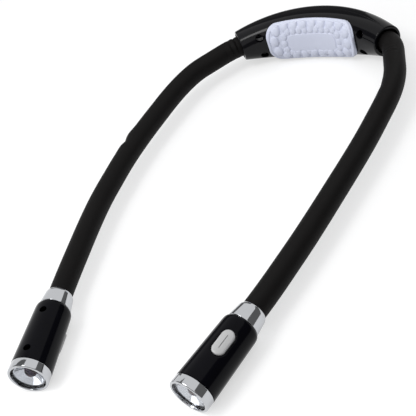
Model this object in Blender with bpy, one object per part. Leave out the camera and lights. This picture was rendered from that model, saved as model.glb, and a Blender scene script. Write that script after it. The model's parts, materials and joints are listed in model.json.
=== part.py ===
"""Neck reading light.

A curved housing holds two cells behind the neck. An arm leaves each end of it, in five stretches that
swivel on each other, and carries a lamp with its own push button. Lengths are in metres and Z is up.
The middle of the housing is at x = 0 and y = 0, the arms run towards -Y, and the light rests on z = 0.
"""
import math

import bmesh
import bpy
import numpy as np
from mathutils import Matrix, Vector

# Fits that the pieces share
FIT_GAP = 0.0003
HINGE_GAP = 0.0006
CUT_OVERRUN = 0.003

# Housing: its course, its sections and its wall
MOUTH_HALF_SPAN = 0.05725
HOUSING_HALF_TURN = math.radians(38.0)
MOUTH_RADIUS = 0.0111
HOUSING_HALF_HEIGHT = 0.0171
OUTER_HALF_DEPTH = 0.0107
INNER_HALF_DEPTH = 0.0147
MIDDLE_TILT = math.radians(4.0)
MIDDLE_DROP = 0.0014
HOUSING_WALL = 0.0020
MOUTH_BORE_RADIUS = 0.0093
MOUTH_RIM_DEPTH = 0.0026
MOUTH_BORE_DEPTH = 0.0045
MOUTH_BORE_END = 0.0090
MOUTH_EDGE = 0.0009
REST_FLAT_DEPTH = 0.0011
ROUND_SQUARENESS = 2.0
OUTER_SQUARENESS = 3.0
INNER_SQUARENESS = 3.2
HOUSING_ROWS = 16
HALF_LOOP_STEPS = 14

# Housing screws and their bosses
HOUSING_SCREW_TURN = math.radians(28.2)
HOUSING_SCREW_RISE = 0.0074
HOUSING_BOSS_RADIUS = 0.0033
HOUSING_SCREW_SEAT = 0.0048
HOUSING_SCREW_HEAD_RADIUS = 0.0021
HOUSING_SCREW_HEAD_HEIGHT = 0.0016
HOUSING_SCREW_SHANK_RADIUS = 0.0010
HOUSING_SCREW_TIP = 0.0060
HOUSING_SCREW_SOCKET = 0.0008

# Neck pad
PAD_HALF_TURN = math.radians(25.0)
PAD_HALF_HEIGHT = 0.0147
PAD_RISE = 0.0005
PAD_THICKNESS = 0.0021
PAD_EDGE_THICKNESS = 0.0014
PAD_RIM_WIDTH = 0.0022
PAD_CORNER = 0.0085
PAD_END_SHARE = 0.87
PAD_COLUMNS = 36
PAD_ROWS = 15
PAD_STEEPNESS_SHARE = 0.0001
BUBBLE_HEIGHT = 0.0008
OUTER_BUBBLE_RADIUS = 0.0027
INNER_BUBBLE_RADIUS = 0.0019
OUTER_BUBBLE_INSET = 0.0052
INNER_BUBBLE_INSET = 0.0091
OUTER_BUBBLE_COUNT = 22
INNER_BUBBLE_COUNT = 24

# Cells, contacts and leads
CELL_RADIUS = 0.00525
CELL_LENGTH = 0.0445
CELL_NUB_RADIUS = 0.0019
CELL_NUB_LENGTH = 0.0010
CONTACT_THICKNESS = 0.0005
CONTACT_HALF_DEPTH = 0.0042
CONTACT_SPRING_LENGTH = 0.0015
CONTACT_SPRING_RADIUS = 0.0030
CONTACT_TIP_RADIUS = 0.0014
CONTACT_LAP = 0.0001
BAY_WALL = 0.0015
BAY_WALL_HALF_HEIGHT = 0.0089
BAY_WALL_SINK_SHARE = 0.35
LEAD_RADIUS = 0.0008
LEAD_FLOOR_RISE = 0.0120
LEAD_BEND = 0.0016
DOOR_HALF_LENGTH = 0.0242
DOOR_HALF_HEIGHT = 0.0107

# Arms: sleeves, cores and the anchors in the housing
SLEEVE_RADIUS = 0.0075
CORE_RADIUS = 0.0040
CORE_REACH = 0.0060
SLEEVE_INSET = 0.0100
ANCHOR_RADIUS = 0.0068
ANCHOR_START_SHARE = 0.08
ANCHOR_LENGTH_SHARE = 0.36
ANCHOR_TAIL_SHARE = 0.064
HINGE_STRAIGHT = 0.0085
RING_SPACING = 0.0115
SLEEVE_SEGMENTS = 14
CORE_SEGMENTS = 8
COURSE_STEPS = 512

# Arms: where they bend, and their headings away from -Y towards the outside, from mouth to collar
BEND_SHARES = (0.09, 0.34, 0.60, 0.85)
HEADING_SHARES = (0.0, 0.07, 0.16, 0.30, 0.50, 0.75, 1.0)
LEFT_ARM_LENGTH = 0.2590
RIGHT_ARM_LENGTH = 0.2494
ARM_LENGTH = {"left": LEFT_ARM_LENGTH, "right": RIGHT_ARM_LENGTH}
ARM_SIDE = {"left": -1.0, "right": 1.0}
ARM_HEADINGS = {
    "left": (52.0, 42.1, 21.4, 9.1, 3.0, -7.3, -10.7),
    "right": (52.0, 21.9, 9.0, -3.3, -7.7, -9.4, -14.1),
}

# Lamp: its outside, by distance from the collar's rear rim along the lamp's axis
LAMP_LENGTH = 0.0625
COLLAR_LENGTH = 0.0112
COLLAR_RIM_RADIUS = 0.0081
COLLAR_REAR_RADIUS = 0.0089
COLLAR_RADIUS = 0.0100
COLLAR_SWELL = 0.0024
COLLAR_EDGE = 0.0004
SLEEVE_SEAT = 0.0056
COLLAR_WEB = 0.0010
COLLAR_WEB_RADIUS = 0.0060
CORE_END = 0.0090
CASING_TAIL_RADIUS = 0.0083
CASING_WALL = 0.0014
SHOULDER_RADIUS = 0.0112
SHOULDER_FILLET = 0.0015
BEZEL_RADIUS = 0.0124
BEZEL_LENGTH = 0.0062
BEZEL_SKIRT = 0.0025
BEZEL_ROUND = 0.0009
BEZEL_LIP = 0.0010
BEZEL_LIP_RADIUS = 0.0107
BEZEL_BORE_RADIUS = 0.0099
BEZEL_STEP = 0.0008
LENS_BORE_RADIUS = 0.0114
LATHE_SEGMENTS = 24
SMALL_SEGMENTS = 12
HALF_CASING_STEPS = 12
TAPER_ROWS = 4

# Lamp: the turn of its screws about its axis, from level towards up
LAMP_TURN = {"left": math.radians(88.5), "right": math.radians(216.5)}

# Lamp screws
LAMP_SCREW_PLACE_SHARE = 0.3184
LAMP_SCREW_CLEAR = 0.0003
LAMP_SCREW_SEAT = 0.0050
LAMP_SCREW_HEAD_RADIUS = 0.0016
LAMP_SCREW_HEAD_HEIGHT = 0.0012
LAMP_SCREW_SHANK_RADIUS = 0.00085
LAMP_SCREW_TIP = 0.0042
LAMP_SCREW_SOCKET = 0.0005
LAMP_BOSS_RADIUS = 0.0024
PILOT_GAP = 0.00025

# Button and switch
BUTTON_PLACE_SHARE = 0.482
BUTTON_LENGTH_SHARE = 0.264
BUTTON_TURN = math.radians(-150.0)
BUTTON_WIDTH = 0.0078
BUTTON_PROUD = 0.0009
BUTTON_EDGE = 0.0006
BUTTON_FLANGE = 0.0007
BUTTON_BASE = 0.0079
BUTTON_TRAVEL = 0.0008
BUTTON_CORNER_STEPS = 6
SWITCH_BOARD_RISE = 0.0020
SWITCH_BOARD_THICKNESS = 0.0012
SWITCH_BODY_HALF = 0.0030
SWITCH_BODY_HEIGHT = 0.0024
PLUNGER_RADIUS = 0.0017
BOARD_CORNER = 0.0005
BOARD_CORNER_STEPS = 2

# Light source, reflector and lens
LED_BOARD_THICKNESS = 0.0015
LED_RADIUS = 0.0024
LED_HEIGHT = 0.0014
REFLECTOR_THROAT_RADIUS = 0.0030
REFLECTOR_WALL = 0.0006
LENS_THICKNESS = 0.0015
LENS_EDGE = 0.0002

# Counts along curved outlines
BARREL_STEPS = 5
ROUND_STEPS = 3
BALL_STEPS = 3
CUP_STEPS = 3
BOWL_STEPS = 5

# Places worked out from the sizes above
HOUSING_RADIUS = MOUTH_HALF_SPAN / math.sin(HOUSING_HALF_TURN)
SLEEVE_BORE = CORE_RADIUS + FIT_GAP
CUP_RADIUS = SLEEVE_RADIUS + HINGE_GAP
CONTACT_FRONT = CELL_LENGTH / 2 + FIT_GAP + CONTACT_SPRING_LENGTH
CONTACT_BACK = CONTACT_FRONT + CONTACT_THICKNESS
BAY_INSIDE = CONTACT_BACK + FIT_GAP
BAY_OUTSIDE = BAY_INSIDE + BAY_WALL
CELL_OUTWARD = -HOUSING_RADIUS * (1 - math.cos(math.asin(CONTACT_BACK / HOUSING_RADIUS))) / 2
BOSS_INSIDE = (HOUSING_HALF_TURN - HOUSING_SCREW_TURN) * HOUSING_RADIUS + HOUSING_BOSS_RADIUS
ANCHOR_ROOM = (HOUSING_HALF_TURN - math.asin(BAY_OUTSIDE / HOUSING_RADIUS)) * HOUSING_RADIUS - BOSS_INSIDE
ANCHOR_START = BOSS_INSIDE + ANCHOR_ROOM * ANCHOR_START_SHARE
ANCHOR_LENGTH = ANCHOR_ROOM * ANCHOR_LENGTH_SHARE
ANCHOR_TAIL = ANCHOR_ROOM * ANCHOR_TAIL_SHARE
CELL_RISE = CELL_RADIUS + FIT_GAP
LEAD_RISE = BAY_WALL_HALF_HEIGHT + FIT_GAP + LEAD_RADIUS
CONTACT_HALF_HEIGHT = LEAD_RISE + LEAD_RADIUS
SLEEVE_END = SLEEVE_SEAT - FIT_GAP
TAIL_START = SLEEVE_SEAT + COLLAR_WEB + FIT_GAP
SHOULDER_START = COLLAR_LENGTH + FIT_GAP
CASING_FRONT = LAMP_LENGTH - BEZEL_LENGTH - FIT_GAP
SKIRT_START = LAMP_LENGTH - BEZEL_LENGTH - BEZEL_SKIRT
LENS_FRONT = LAMP_LENGTH - BEZEL_LIP - FIT_GAP
LENS_BACK = LENS_FRONT - LENS_THICKNESS
LENS_RADIUS = LENS_BORE_RADIUS - FIT_GAP
REFLECTOR_FRONT = LENS_BACK - FIT_GAP
LED_BOARD_FRONT = SKIRT_START - FIT_GAP
LAMP_SCREW_STATIONS = (
    LAMP_LENGTH * LAMP_SCREW_PLACE_SHARE,
    LED_BOARD_FRONT - LED_BOARD_THICKNESS - FIT_GAP - LAMP_BOSS_RADIUS - LAMP_SCREW_CLEAR,
)
BUTTON_STATION = LAMP_LENGTH * BUTTON_PLACE_SHARE
BUTTON_LENGTH = LAMP_LENGTH * BUTTON_LENGTH_SHARE


# Materials

def make_material(name, color, roughness, metallic):
    material = bpy.data.materials.new(name)
    material.use_nodes = True
    shader = material.node_tree.nodes["Principled BSDF"]
    shader.inputs["Base Color"].default_value = (*color, 1.0)
    shader.inputs["Roughness"].default_value = roughness
    shader.inputs["Metallic"].default_value = metallic
    material.diffuse_color = (*color, 1.0)
    return material


def make_materials():
    return {
        "shell": make_material("shell_black", (0.012, 0.012, 0.014), 0.35, 0.0),
        "sleeve": make_material("sleeve_black", (0.018, 0.018, 0.019), 0.8, 0.0),
        "pad": make_material("pad_white", (0.72, 0.72, 0.80), 0.45, 0.0),
        "gloss": make_material("casing_black", (0.008, 0.008, 0.011), 0.12, 0.0),
        "chrome": make_material("bright_chrome", (0.78, 0.79, 0.81), 0.08, 1.0),
        "steel": make_material("steel", (0.5, 0.5, 0.52), 0.35, 1.0),
        "brass": make_material("nickel_contact", (0.7, 0.66, 0.55), 0.3, 1.0),
        "cell": make_material("cell_wrap", (0.08, 0.09, 0.11), 0.4, 0.0),
        "wire": make_material("wire_red", (0.35, 0.02, 0.02), 0.5, 0.0),
        "board": make_material("board_white", (0.75, 0.77, 0.75), 0.5, 0.0),
        "led": make_material("led_yellow", (0.9, 0.75, 0.2), 0.3, 0.0),
        "mirror": make_material("reflector_mirror", (0.9, 0.9, 0.92), 0.05, 1.0),
        "lens": make_material("lens_clear", (0.85, 0.88, 0.9), 0.03, 0.0),
    }


# Objects and meshes

def clear_scene():
    for item in list(bpy.data.objects):
        bpy.data.objects.remove(item, do_unlink=True)


def add_empty(name, frame, parent=None):
    """An empty at a world frame, under a parent empty."""
    empty = bpy.data.objects.new(name, None)
    empty.empty_display_size = SLEEVE_RADIUS
    bpy.context.scene.collection.objects.link(empty)
    empty["world_frame"] = [value for row in frame for value in row]
    empty.parent = parent
    if parent is None:
        empty.matrix_local = frame
    else:
        empty.matrix_local = world_frame(parent).inverted() @ frame
    return empty


def world_frame(empty):
    """The world frame that an empty was made at."""
    values = list(empty["world_frame"])
    return Matrix([values[start:start + 4] for start in range(0, 16, 4)])


def add_mesh(name, points, faces, parent, material=None, local=False):
    """A solid from points in world places, or in the parent's own frame where local is set."""
    mesh = bpy.data.meshes.new(name)
    mesh.from_pydata([tuple(point) for point in points], [], faces)
    if not local:
        mesh.transform(world_frame(parent).inverted())
    shape = bmesh.new()
    shape.from_mesh(mesh)
    bmesh.ops.recalc_face_normals(shape, faces=shape.faces)
    shape.to_mesh(mesh)
    shape.free()
    mesh.update()
    item = bpy.data.objects.new(name, mesh)
    bpy.context.scene.collection.objects.link(item)
    item.parent = parent
    if material is not None:
        mesh.materials.append(material)
    return item


def combine(target, operation, name, solids, parent, local=False):
    """Adds, cuts or keeps the given (points, faces) solids on a piece, by one Boolean modifier."""
    points = []
    faces = []
    for solid_points, solid_faces in solids:
        shift = len(points)
        points += list(solid_points)
        faces += [tuple(index + shift for index in face) for face in solid_faces]
    tool = add_mesh(name, points, faces, parent, None, local)
    tool.hide_render = True
    tool.display_type = "WIRE"
    modifier = target.modifiers.new(name, "BOOLEAN")
    modifier.operation = operation
    modifier.solver = "EXACT"
    modifier.object = tool


def ring_faces(ring_count, segments, closed):
    """Faces between rings that follow each other, closed end to start or capped."""
    faces = []
    last = ring_count if closed else ring_count - 1
    for ring in range(last):
        following = (ring + 1) % ring_count
        for step in range(segments):
            after = (step + 1) % segments
            faces.append((ring * segments + step, ring * segments + after,
                          following * segments + after, following * segments + step))
    if not closed:
        faces.append(tuple(range(segments)))
        faces.append(tuple((ring_count - 1) * segments + step for step in range(segments)))
    return faces


def spun(profile, frame, segments, closed=False):
    """A solid turned about the frame's Z axis, from (station, radius) points."""
    points = []
    for station, radius in profile:
        for step in range(segments):
            angle = 2 * math.pi * step / segments
            points.append(frame @ Vector((radius * math.cos(angle), radius * math.sin(angle), station)))
    return points, ring_faces(len(profile), segments, closed)


def walled(outer_rows, inner_rows):
    """The closed wall between two matching grids of points."""
    rows = len(outer_rows)
    columns = len(outer_rows[0])
    points = [point for row in outer_rows for point in row] + [point for row in inner_rows for point in row]
    shift = rows * columns
    faces = []
    for row in range(rows - 1):
        for column in range(columns - 1):
            corner = row * columns + column
            quad = (corner, corner + 1, corner + columns + 1, corner + columns)
            faces.append(quad)
            faces.append(tuple(index + shift for index in reversed(quad)))
    for row in (0, rows - 1):
        for column in range(columns - 1):
            corner = row * columns + column
            faces.append((corner, corner + 1, corner + 1 + shift, corner + shift))
    for column in (0, columns - 1):
        for row in range(rows - 1):
            corner = row * columns + column
            faces.append((corner, corner + columns, corner + columns + shift, corner + shift))
    return points, faces


def axis_frame(point, direction):
    """A frame at a point, with its Z axis along a direction."""
    frame = Vector(direction).to_track_quat("Z", "Y").to_matrix().to_4x4()
    frame.translation = point
    return frame


def box(place, low, high):
    """A box between two corners, given as coordinates of the place function."""
    points = [place(first, second, third) for first in (low[0], high[0])
              for second in (low[1], high[1]) for third in (low[2], high[2])]
    faces = [(0, 1, 3, 2), (4, 6, 7, 5), (0, 4, 5, 1), (2, 3, 7, 6), (0, 2, 6, 4), (1, 5, 7, 3)]
    return points, faces


def rounded_outline(half_width, half_length, corner, steps):
    """A rounded rectangle about zero, corner by corner."""
    points = []
    for quarter in range(4):
        sign_x = 1.0 if quarter in (0, 3) else -1.0
        sign_y = 1.0 if quarter in (0, 1) else -1.0
        for step in range(steps + 1):
            angle = math.pi / 2 * (quarter + step / steps)
            points.append((sign_x * (half_width - corner) + corner * math.cos(angle),
                           sign_y * (half_length - corner) + corner * math.sin(angle)))
    return points


def smooth_values(shares, values, share):
    """A smooth curve through values at shares, which doesn't swing past them."""
    steps = np.diff(shares)
    slopes = np.diff(values) / steps
    tangents = np.zeros(len(values))
    tangents[0] = slopes[0]
    tangents[-1] = slopes[-1]
    for place in range(1, len(values) - 1):
        before, after = slopes[place - 1], slopes[place]
        if before * after > 0:
            first = 2 * steps[place] + steps[place - 1]
            second = steps[place] + 2 * steps[place - 1]
            tangents[place] = (first + second) / (first / before + second / after)
    index = np.clip(np.searchsorted(shares, share, side="right") - 1, 0, len(steps) - 1)
    width = steps[index]
    part = (share - np.asarray(shares)[index]) / width
    low, high = np.asarray(values)[index], np.asarray(values)[index + 1]
    rise = part * part * (3 - 2 * part)
    start_pull = part * (1 - part) ** 2 * width * tangents[index]
    end_pull = -part * part * (1 - part) * width * tangents[index + 1]
    return low + (high - low) * rise + start_pull + end_pull


def route_through(points, steps):
    """A smooth run of points through a few chosen ones."""
    route = []
    for place in range(len(points) - 1):
        before = points[max(place - 1, 0)]
        start, end = points[place], points[place + 1]
        after = points[min(place + 2, len(points) - 1)]
        for step in range(steps):
            part = step / steps
            route.append(0.5 * (2 * start + (end - before) * part
                                + (2 * before - 5 * start + 4 * end - after) * part ** 2
                                + (3 * start - before - 3 * end + after) * part ** 3))
    route.append(points[-1])
    return route


def tube(route, radius, segments):
    """A solid rod of one radius along a route."""
    points = []
    side = None
    for place, centre in enumerate(route):
        ahead = route[min(place + 1, len(route) - 1)] - route[max(place - 1, 0)]
        ahead.normalize()
        if side is None:
            side = ahead.orthogonal()
        side = (side - ahead * side.dot(ahead)).normalized()
        up = ahead.cross(side)
        for step in range(segments):
            angle = 2 * math.pi * step / segments
            points.append(centre + radius * (math.cos(angle) * side + math.sin(angle) * up))
    return points, ring_faces(len(route), segments, False)


# Housing shape

def fullness(turn):
    """1 in the housing's middle, 0 at its mouths."""
    return 1.0 - (turn / HOUSING_HALF_TURN) ** 2


def blend(mouth_value, middle_value, turn):
    """A size that changes from the mouths to the middle."""
    return mouth_value + (middle_value - mouth_value) * fullness(turn)


def section_size(turn, facing, inset):
    """Half depth, half height and squareness of half a section, facing out (1) or in (-1)."""
    middle_depth = OUTER_HALF_DEPTH if facing > 0 else INNER_HALF_DEPTH
    middle_squareness = OUTER_SQUARENESS if facing > 0 else INNER_SQUARENESS
    return (blend(MOUTH_RADIUS, middle_depth, turn) - inset,
            blend(MOUTH_RADIUS, HOUSING_HALF_HEIGHT, turn) - inset,
            blend(ROUND_SQUARENESS, middle_squareness, turn))


def lowest_rise():
    """How far the middle section reaches below the mouths' centres, with the drop and the tilt."""
    lowest = 0.0
    for angle in np.linspace(-math.pi / 2, math.pi / 2, HALF_LOOP_STEPS ** 2):
        for facing in (1, -1):
            out, up = section_point(0.0, facing, 0.0, angle)
            rise = -out * math.sin(MIDDLE_TILT) + up * math.cos(MIDDLE_TILT) - MIDDLE_DROP
            lowest = min(lowest, rise)
    return lowest


def section_point(turn, facing, inset, angle):
    """A point of half a section, as outward and upward places from its centre."""
    depth, height, squareness = section_size(turn, facing, inset)
    cosine, sine = math.cos(angle), math.sin(angle)
    reach = (abs(cosine / depth) ** squareness + abs(sine / height) ** squareness) ** (-1 / squareness)
    seam = FIT_GAP / 2
    out = seam + reach * cosine * (1 - seam / depth)
    return facing * out, reach * sine


MOUTH_HEIGHT = -lowest_rise() - REST_FLAT_DEPTH


def world_place(x, y, z):
    return Vector((x, y, z))


def housing_place(turn, outward, upward):
    """The world place at outward and upward in the tilted section at a turn."""
    tilt = blend(0.0, MIDDLE_TILT, turn)
    reach = HOUSING_RADIUS + outward * math.cos(tilt) + upward * math.sin(tilt)
    height = MOUTH_HEIGHT - blend(0.0, MIDDLE_DROP, turn)
    height += upward * math.cos(tilt) - outward * math.sin(tilt)
    return Vector((reach * math.sin(turn), reach * math.cos(turn) - HOUSING_RADIUS, height))


def bay_place(along, outward, upward):
    """The world place in the frame of the cell bay, which is straight along X."""
    place = housing_place(0.0, outward, upward)
    place.x = along
    return place


def bay_turn(along):
    """The turn at which the housing's centre line is so far along X."""
    return math.asin(along / HOUSING_RADIUS)


def ramp(value, start, end):
    """0 up to the start, 1 from the end on, and a straight rise between them."""
    return min(max((value - start) / (end - start), 0.0), 1.0)


def wall_thickness(inside):
    """The wall at a distance inside a mouth: a thin rim, then the bore that holds the sleeve."""
    rim = MOUTH_RADIUS - MOUTH_BORE_RADIUS
    hold = MOUTH_RADIUS - SLEEVE_RADIUS - FIT_GAP
    entry = ramp(inside, MOUTH_RIM_DEPTH, MOUTH_BORE_DEPTH)
    release = ramp(inside, MOUTH_BORE_END, MOUTH_BORE_END + MOUTH_RIM_DEPTH)
    return rim + (hold - rim) * entry + (HOUSING_WALL - hold) * release


def housing_rows():
    """Turn and inset of the skin at each row of the housing, from mouth to mouth."""
    edge = []
    for step in range(ROUND_STEPS, 0, -1):
        angle = math.pi / 2 * step / ROUND_STEPS
        edge.append((MOUTH_EDGE * (1 - math.sin(angle)), MOUTH_EDGE * (1 - math.cos(angle))))
    rims = [MOUTH_RIM_DEPTH, MOUTH_BORE_DEPTH, MOUTH_BORE_END]
    ends = edge + [(inside, 0.0) for inside in [MOUTH_EDGE] + rims]
    ends = [(HOUSING_HALF_TURN - inside / HOUSING_RADIUS, inset) for inside, inset in ends]
    body_turn = HOUSING_HALF_TURN - (MOUTH_BORE_END + MOUTH_RIM_DEPTH) / HOUSING_RADIUS
    body = [(turn, 0.0) for turn in np.linspace(-body_turn, body_turn, HOUSING_ROWS).tolist()]
    return [(-turn, inset) for turn, inset in ends] + body + list(reversed(ends))


def housing_half(facing):
    """The wall of one half of the housing, from mouth to mouth."""
    outer_rows = []
    inner_rows = []
    for turn, inset in housing_rows():
        thickness = wall_thickness((HOUSING_HALF_TURN - abs(turn)) * HOUSING_RADIUS)
        outer_row = []
        inner_row = []
        for step in range(HALF_LOOP_STEPS + 1):
            angle = math.pi * (step / HALF_LOOP_STEPS - 0.5)
            outer_row.append(housing_place(turn, *section_point(turn, facing, inset, angle)))
            inner_row.append(housing_place(turn, *section_point(turn, facing, thickness, angle)))
        outer_rows.append(outer_row)
        inner_rows.append(inner_row)
    return walled(outer_rows, inner_rows)


def screw_spots():
    """Turn and rise of the four housing screws."""
    return [(side * HOUSING_SCREW_TURN, level * HOUSING_SCREW_RISE) for side in (-1, 1) for level in (-1, 1)]


def screw_frame(turn, rise):
    """A frame on the seam, with Z outward along a housing screw."""
    start = housing_place(turn, 0.0, rise)
    return axis_frame(start, housing_place(turn, HOUSING_WALL, rise) - start)


def skin_depth(turn, facing, inset, upward):
    """How far from the seam a half's skin is, or the surface an inset inside it."""
    depth, height, squareness = section_size(turn, facing, inset)
    share = min(abs(upward) / height, 1.0)
    return depth * (1 - share ** squareness) ** (1 / squareness)


def boss_end(turn, rise, facing):
    """How far from the seam the middle of the wall is at a boss."""
    wall_middle = HOUSING_WALL / 2
    return skin_depth(turn, facing, wall_middle, abs(rise) + HOUSING_BOSS_RADIUS)


def housing_bosses(facing):
    solids = []
    for turn, rise in screw_spots():
        seam = facing * FIT_GAP / 2
        end = facing * max(boss_end(turn, rise, facing), HOUSING_SCREW_TIP + HOUSING_WALL)
        profile = [(min(seam, end), HOUSING_BOSS_RADIUS), (max(seam, end), HOUSING_BOSS_RADIUS)]
        solids.append(spun(profile, screw_frame(turn, rise), SMALL_SEGMENTS))
    return solids


def pilot_bores():
    depth = HOUSING_SCREW_TIP + FIT_GAP
    radius = HOUSING_SCREW_SHANK_RADIUS + PILOT_GAP
    profile = [(-CUT_OVERRUN, radius), (depth, radius)]
    return [spun(profile, screw_frame(turn, rise), SMALL_SEGMENTS) for turn, rise in screw_spots()]


def counterbores():
    shank = HOUSING_SCREW_SHANK_RADIUS + FIT_GAP
    head = HOUSING_SCREW_HEAD_RADIUS + FIT_GAP
    outside = -INNER_HALF_DEPTH - CUT_OVERRUN
    profile = [(outside, head), (-HOUSING_SCREW_SEAT, head), (-HOUSING_SCREW_SEAT, shank), (CUT_OVERRUN, shank)]
    return [spun(profile, screw_frame(turn, rise), SMALL_SEGMENTS) for turn, rise in screw_spots()]


def door_block(half_length, half_height):
    """The block that the battery door or its opening takes out of the outer half."""
    low = (-half_length, OUTER_HALF_DEPTH / 2 - HOUSING_WALL, -half_height)
    high = (half_length, OUTER_HALF_DEPTH + CUT_OVERRUN, half_height)
    return box(bay_place, low, high)


def floor_block():
    """Everything below the plane that the light rests on."""
    reach = HOUSING_RADIUS + OUTER_HALF_DEPTH
    return box(world_place, (-reach, -reach, -MOUTH_HEIGHT), (reach, reach, 0.0))


def bay_walls():
    solids = []
    for side in (-1, 1):
        near, far = side * BAY_INSIDE, side * BAY_OUTSIDE
        turn = bay_turn(BAY_OUTSIDE)
        depth = skin_depth(turn, -1, HOUSING_WALL * BAY_WALL_SINK_SHARE, BAY_WALL_HALF_HEIGHT)
        back = HOUSING_RADIUS * (math.cos(turn) - 1) - depth * math.cos(turn)
        low = (min(near, far), back, -BAY_WALL_HALF_HEIGHT)
        high = (max(near, far), CELL_OUTWARD + CONTACT_HALF_DEPTH, BAY_WALL_HALF_HEIGHT)
        solids.append(box(bay_place, low, high))
    return solids


def make_shells(root, materials):
    outer = add_mesh("outer_shell", *housing_half(1), root, materials["shell"])
    combine(outer, "UNION", "outer_bosses", housing_bosses(1), root)
    opening = door_block(DOOR_HALF_LENGTH + FIT_GAP, DOOR_HALF_HEIGHT + FIT_GAP)
    combine(outer, "DIFFERENCE", "outer_cuts", pilot_bores() + [opening, floor_block()], root)
    inner = add_mesh("inner_shell", *housing_half(-1), root, materials["shell"])
    combine(inner, "UNION", "inner_ribs", housing_bosses(-1) + bay_walls(), root)
    combine(inner, "DIFFERENCE", "inner_cuts", counterbores() + [floor_block()], root)


def make_battery_door(root, materials):
    frame = axis_frame(bay_place(0.0, OUTER_HALF_DEPTH, 0.0),
                       bay_place(0.0, OUTER_HALF_DEPTH, 0.0) - bay_place(0.0, 0.0, 0.0))
    slide = add_empty("battery_door_slide", frame, root)
    door = add_mesh("battery_door", *housing_half(1), slide, materials["shell"])
    combine(door, "INTERSECT", "door_block", [door_block(DOOR_HALF_LENGTH, DOOR_HALF_HEIGHT)], slide)


def screw_profile(seat, head_radius, head_height, shank_radius, tip, socket):
    """A screw along Z: its head ends at the seat's far side and its tip points to +Z."""
    point = shank_radius / 2
    return [(-seat - head_height + socket, point), (-seat - head_height, head_radius / 2),
            (-seat - head_height, head_radius), (-seat, head_radius), (-seat, shank_radius),
            (tip - point, shank_radius), (tip, point)]


def make_housing_screws(root, materials):
    profile = screw_profile(HOUSING_SCREW_SEAT, HOUSING_SCREW_HEAD_RADIUS, HOUSING_SCREW_HEAD_HEIGHT - FIT_GAP,
                            HOUSING_SCREW_SHANK_RADIUS, HOUSING_SCREW_TIP, HOUSING_SCREW_SOCKET)
    lifted = [(station - FIT_GAP, radius) for station, radius in profile]
    for number, (turn, rise) in enumerate(screw_spots(), start=1):
        solid = spun(lifted, screw_frame(turn, rise), SMALL_SEGMENTS)
        add_mesh("housing_screw_%d" % number, *solid, root, materials["steel"])


# Neck pad

def pad_skin(turn, upward, lift):
    """A place over the inner half's skin, lifted off it."""
    depth, height, squareness = section_size(turn, -1, 0.0)
    share = min(abs(upward) / height, 1.0)
    out = skin_depth(turn, -1, 0.0, upward)
    slope = depth / height * (share ** (squareness - 1)) * max(1 - share ** squareness, PAD_STEEPNESS_SHARE) ** (
        1 / squareness - 1)
    length = math.hypot(1.0, slope)
    rise = math.copysign(slope / length, upward) if upward else 0.0
    return housing_place(turn, -out - lift / length, upward + lift * rise)


def pad_share(turn):
    """The pad's height at a turn, as a share of its height in the middle."""
    full = fullness(turn)
    edge = fullness(PAD_HALF_TURN)
    return PAD_END_SHARE + (1 - PAD_END_SHARE) * (full - edge) / (1 - edge)


def bubble_spots(inset, count):
    """Centres of a ring of bubbles, evenly spaced along a rounded track inside the pad's edge."""
    half_length = PAD_HALF_TURN * HOUSING_RADIUS - inset
    half_height = PAD_HALF_HEIGHT * (1 + PAD_END_SHARE) / 2 - inset
    corner = min(PAD_CORNER - inset / 2, half_height)
    outline = [Vector((x, y, 0.0)) for x, y in rounded_outline(half_length, half_height, corner, ROUND_STEPS)]
    outline.append(outline[0])
    lengths = np.cumsum([0.0] + [(outline[step + 1] - outline[step]).length for step in range(len(outline) - 1)])
    spots = []
    for number in range(count):
        place = lengths[-1] * number / count
        spots.append((float(np.interp(place, lengths, [point.x for point in outline])),
                      float(np.interp(place, lengths, [point.y for point in outline]))))
    return spots


def pad_thickness(along, upward, edge_distance, bubbles):
    """The pad's thickness: a bevelled rim, rings of bubbles and a flat panel."""
    rim = min(edge_distance / PAD_RIM_WIDTH, 1.0)
    thickness = PAD_EDGE_THICKNESS + (PAD_THICKNESS - PAD_EDGE_THICKNESS) * math.sin(math.pi / 2 * rim)
    for spots, radius in bubbles:
        for x, y in spots:
            share = ((along - x) ** 2 + (upward - y) ** 2) / radius ** 2
            if share < 1:
                thickness += BUBBLE_HEIGHT * (1 - share)
    return thickness


def make_neck_pad(root, materials):
    bubbles = [(bubble_spots(OUTER_BUBBLE_INSET, OUTER_BUBBLE_COUNT), OUTER_BUBBLE_RADIUS),
               (bubble_spots(INNER_BUBBLE_INSET, INNER_BUBBLE_COUNT), INNER_BUBBLE_RADIUS)]
    front_rows = []
    back_rows = []
    half_length = PAD_HALF_TURN * HOUSING_RADIUS
    for row in range(PAD_ROWS + 1):
        level = 2 * row / PAD_ROWS - 1
        over = max(abs(level) * PAD_HALF_HEIGHT - (PAD_HALF_HEIGHT - PAD_CORNER), 0.0)
        cut = PAD_CORNER - math.sqrt(max(PAD_CORNER ** 2 - over ** 2, 0.0))
        front_row = []
        back_row = []
        for column in range(PAD_COLUMNS + 1):
            along = (2 * column / PAD_COLUMNS - 1) * (half_length - cut)
            turn = along / HOUSING_RADIUS
            half_height = PAD_HALF_HEIGHT * pad_share(turn)
            side_distance = half_length - cut - abs(along)
            edge_distance = min(side_distance, half_height * (1 - abs(level)))
            thickness = pad_thickness(along, level * half_height, edge_distance, bubbles)
            upward = level * half_height + PAD_RISE * pad_share(turn)
            front_row.append(pad_skin(turn, upward, FIT_GAP + thickness))
            back_row.append(pad_skin(turn, upward, FIT_GAP))
        front_rows.append(front_row)
        back_rows.append(back_row)
    add_mesh("neck_pad", *walled(front_rows, back_rows), root, materials["pad"])


# Cells, contacts and leads

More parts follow.
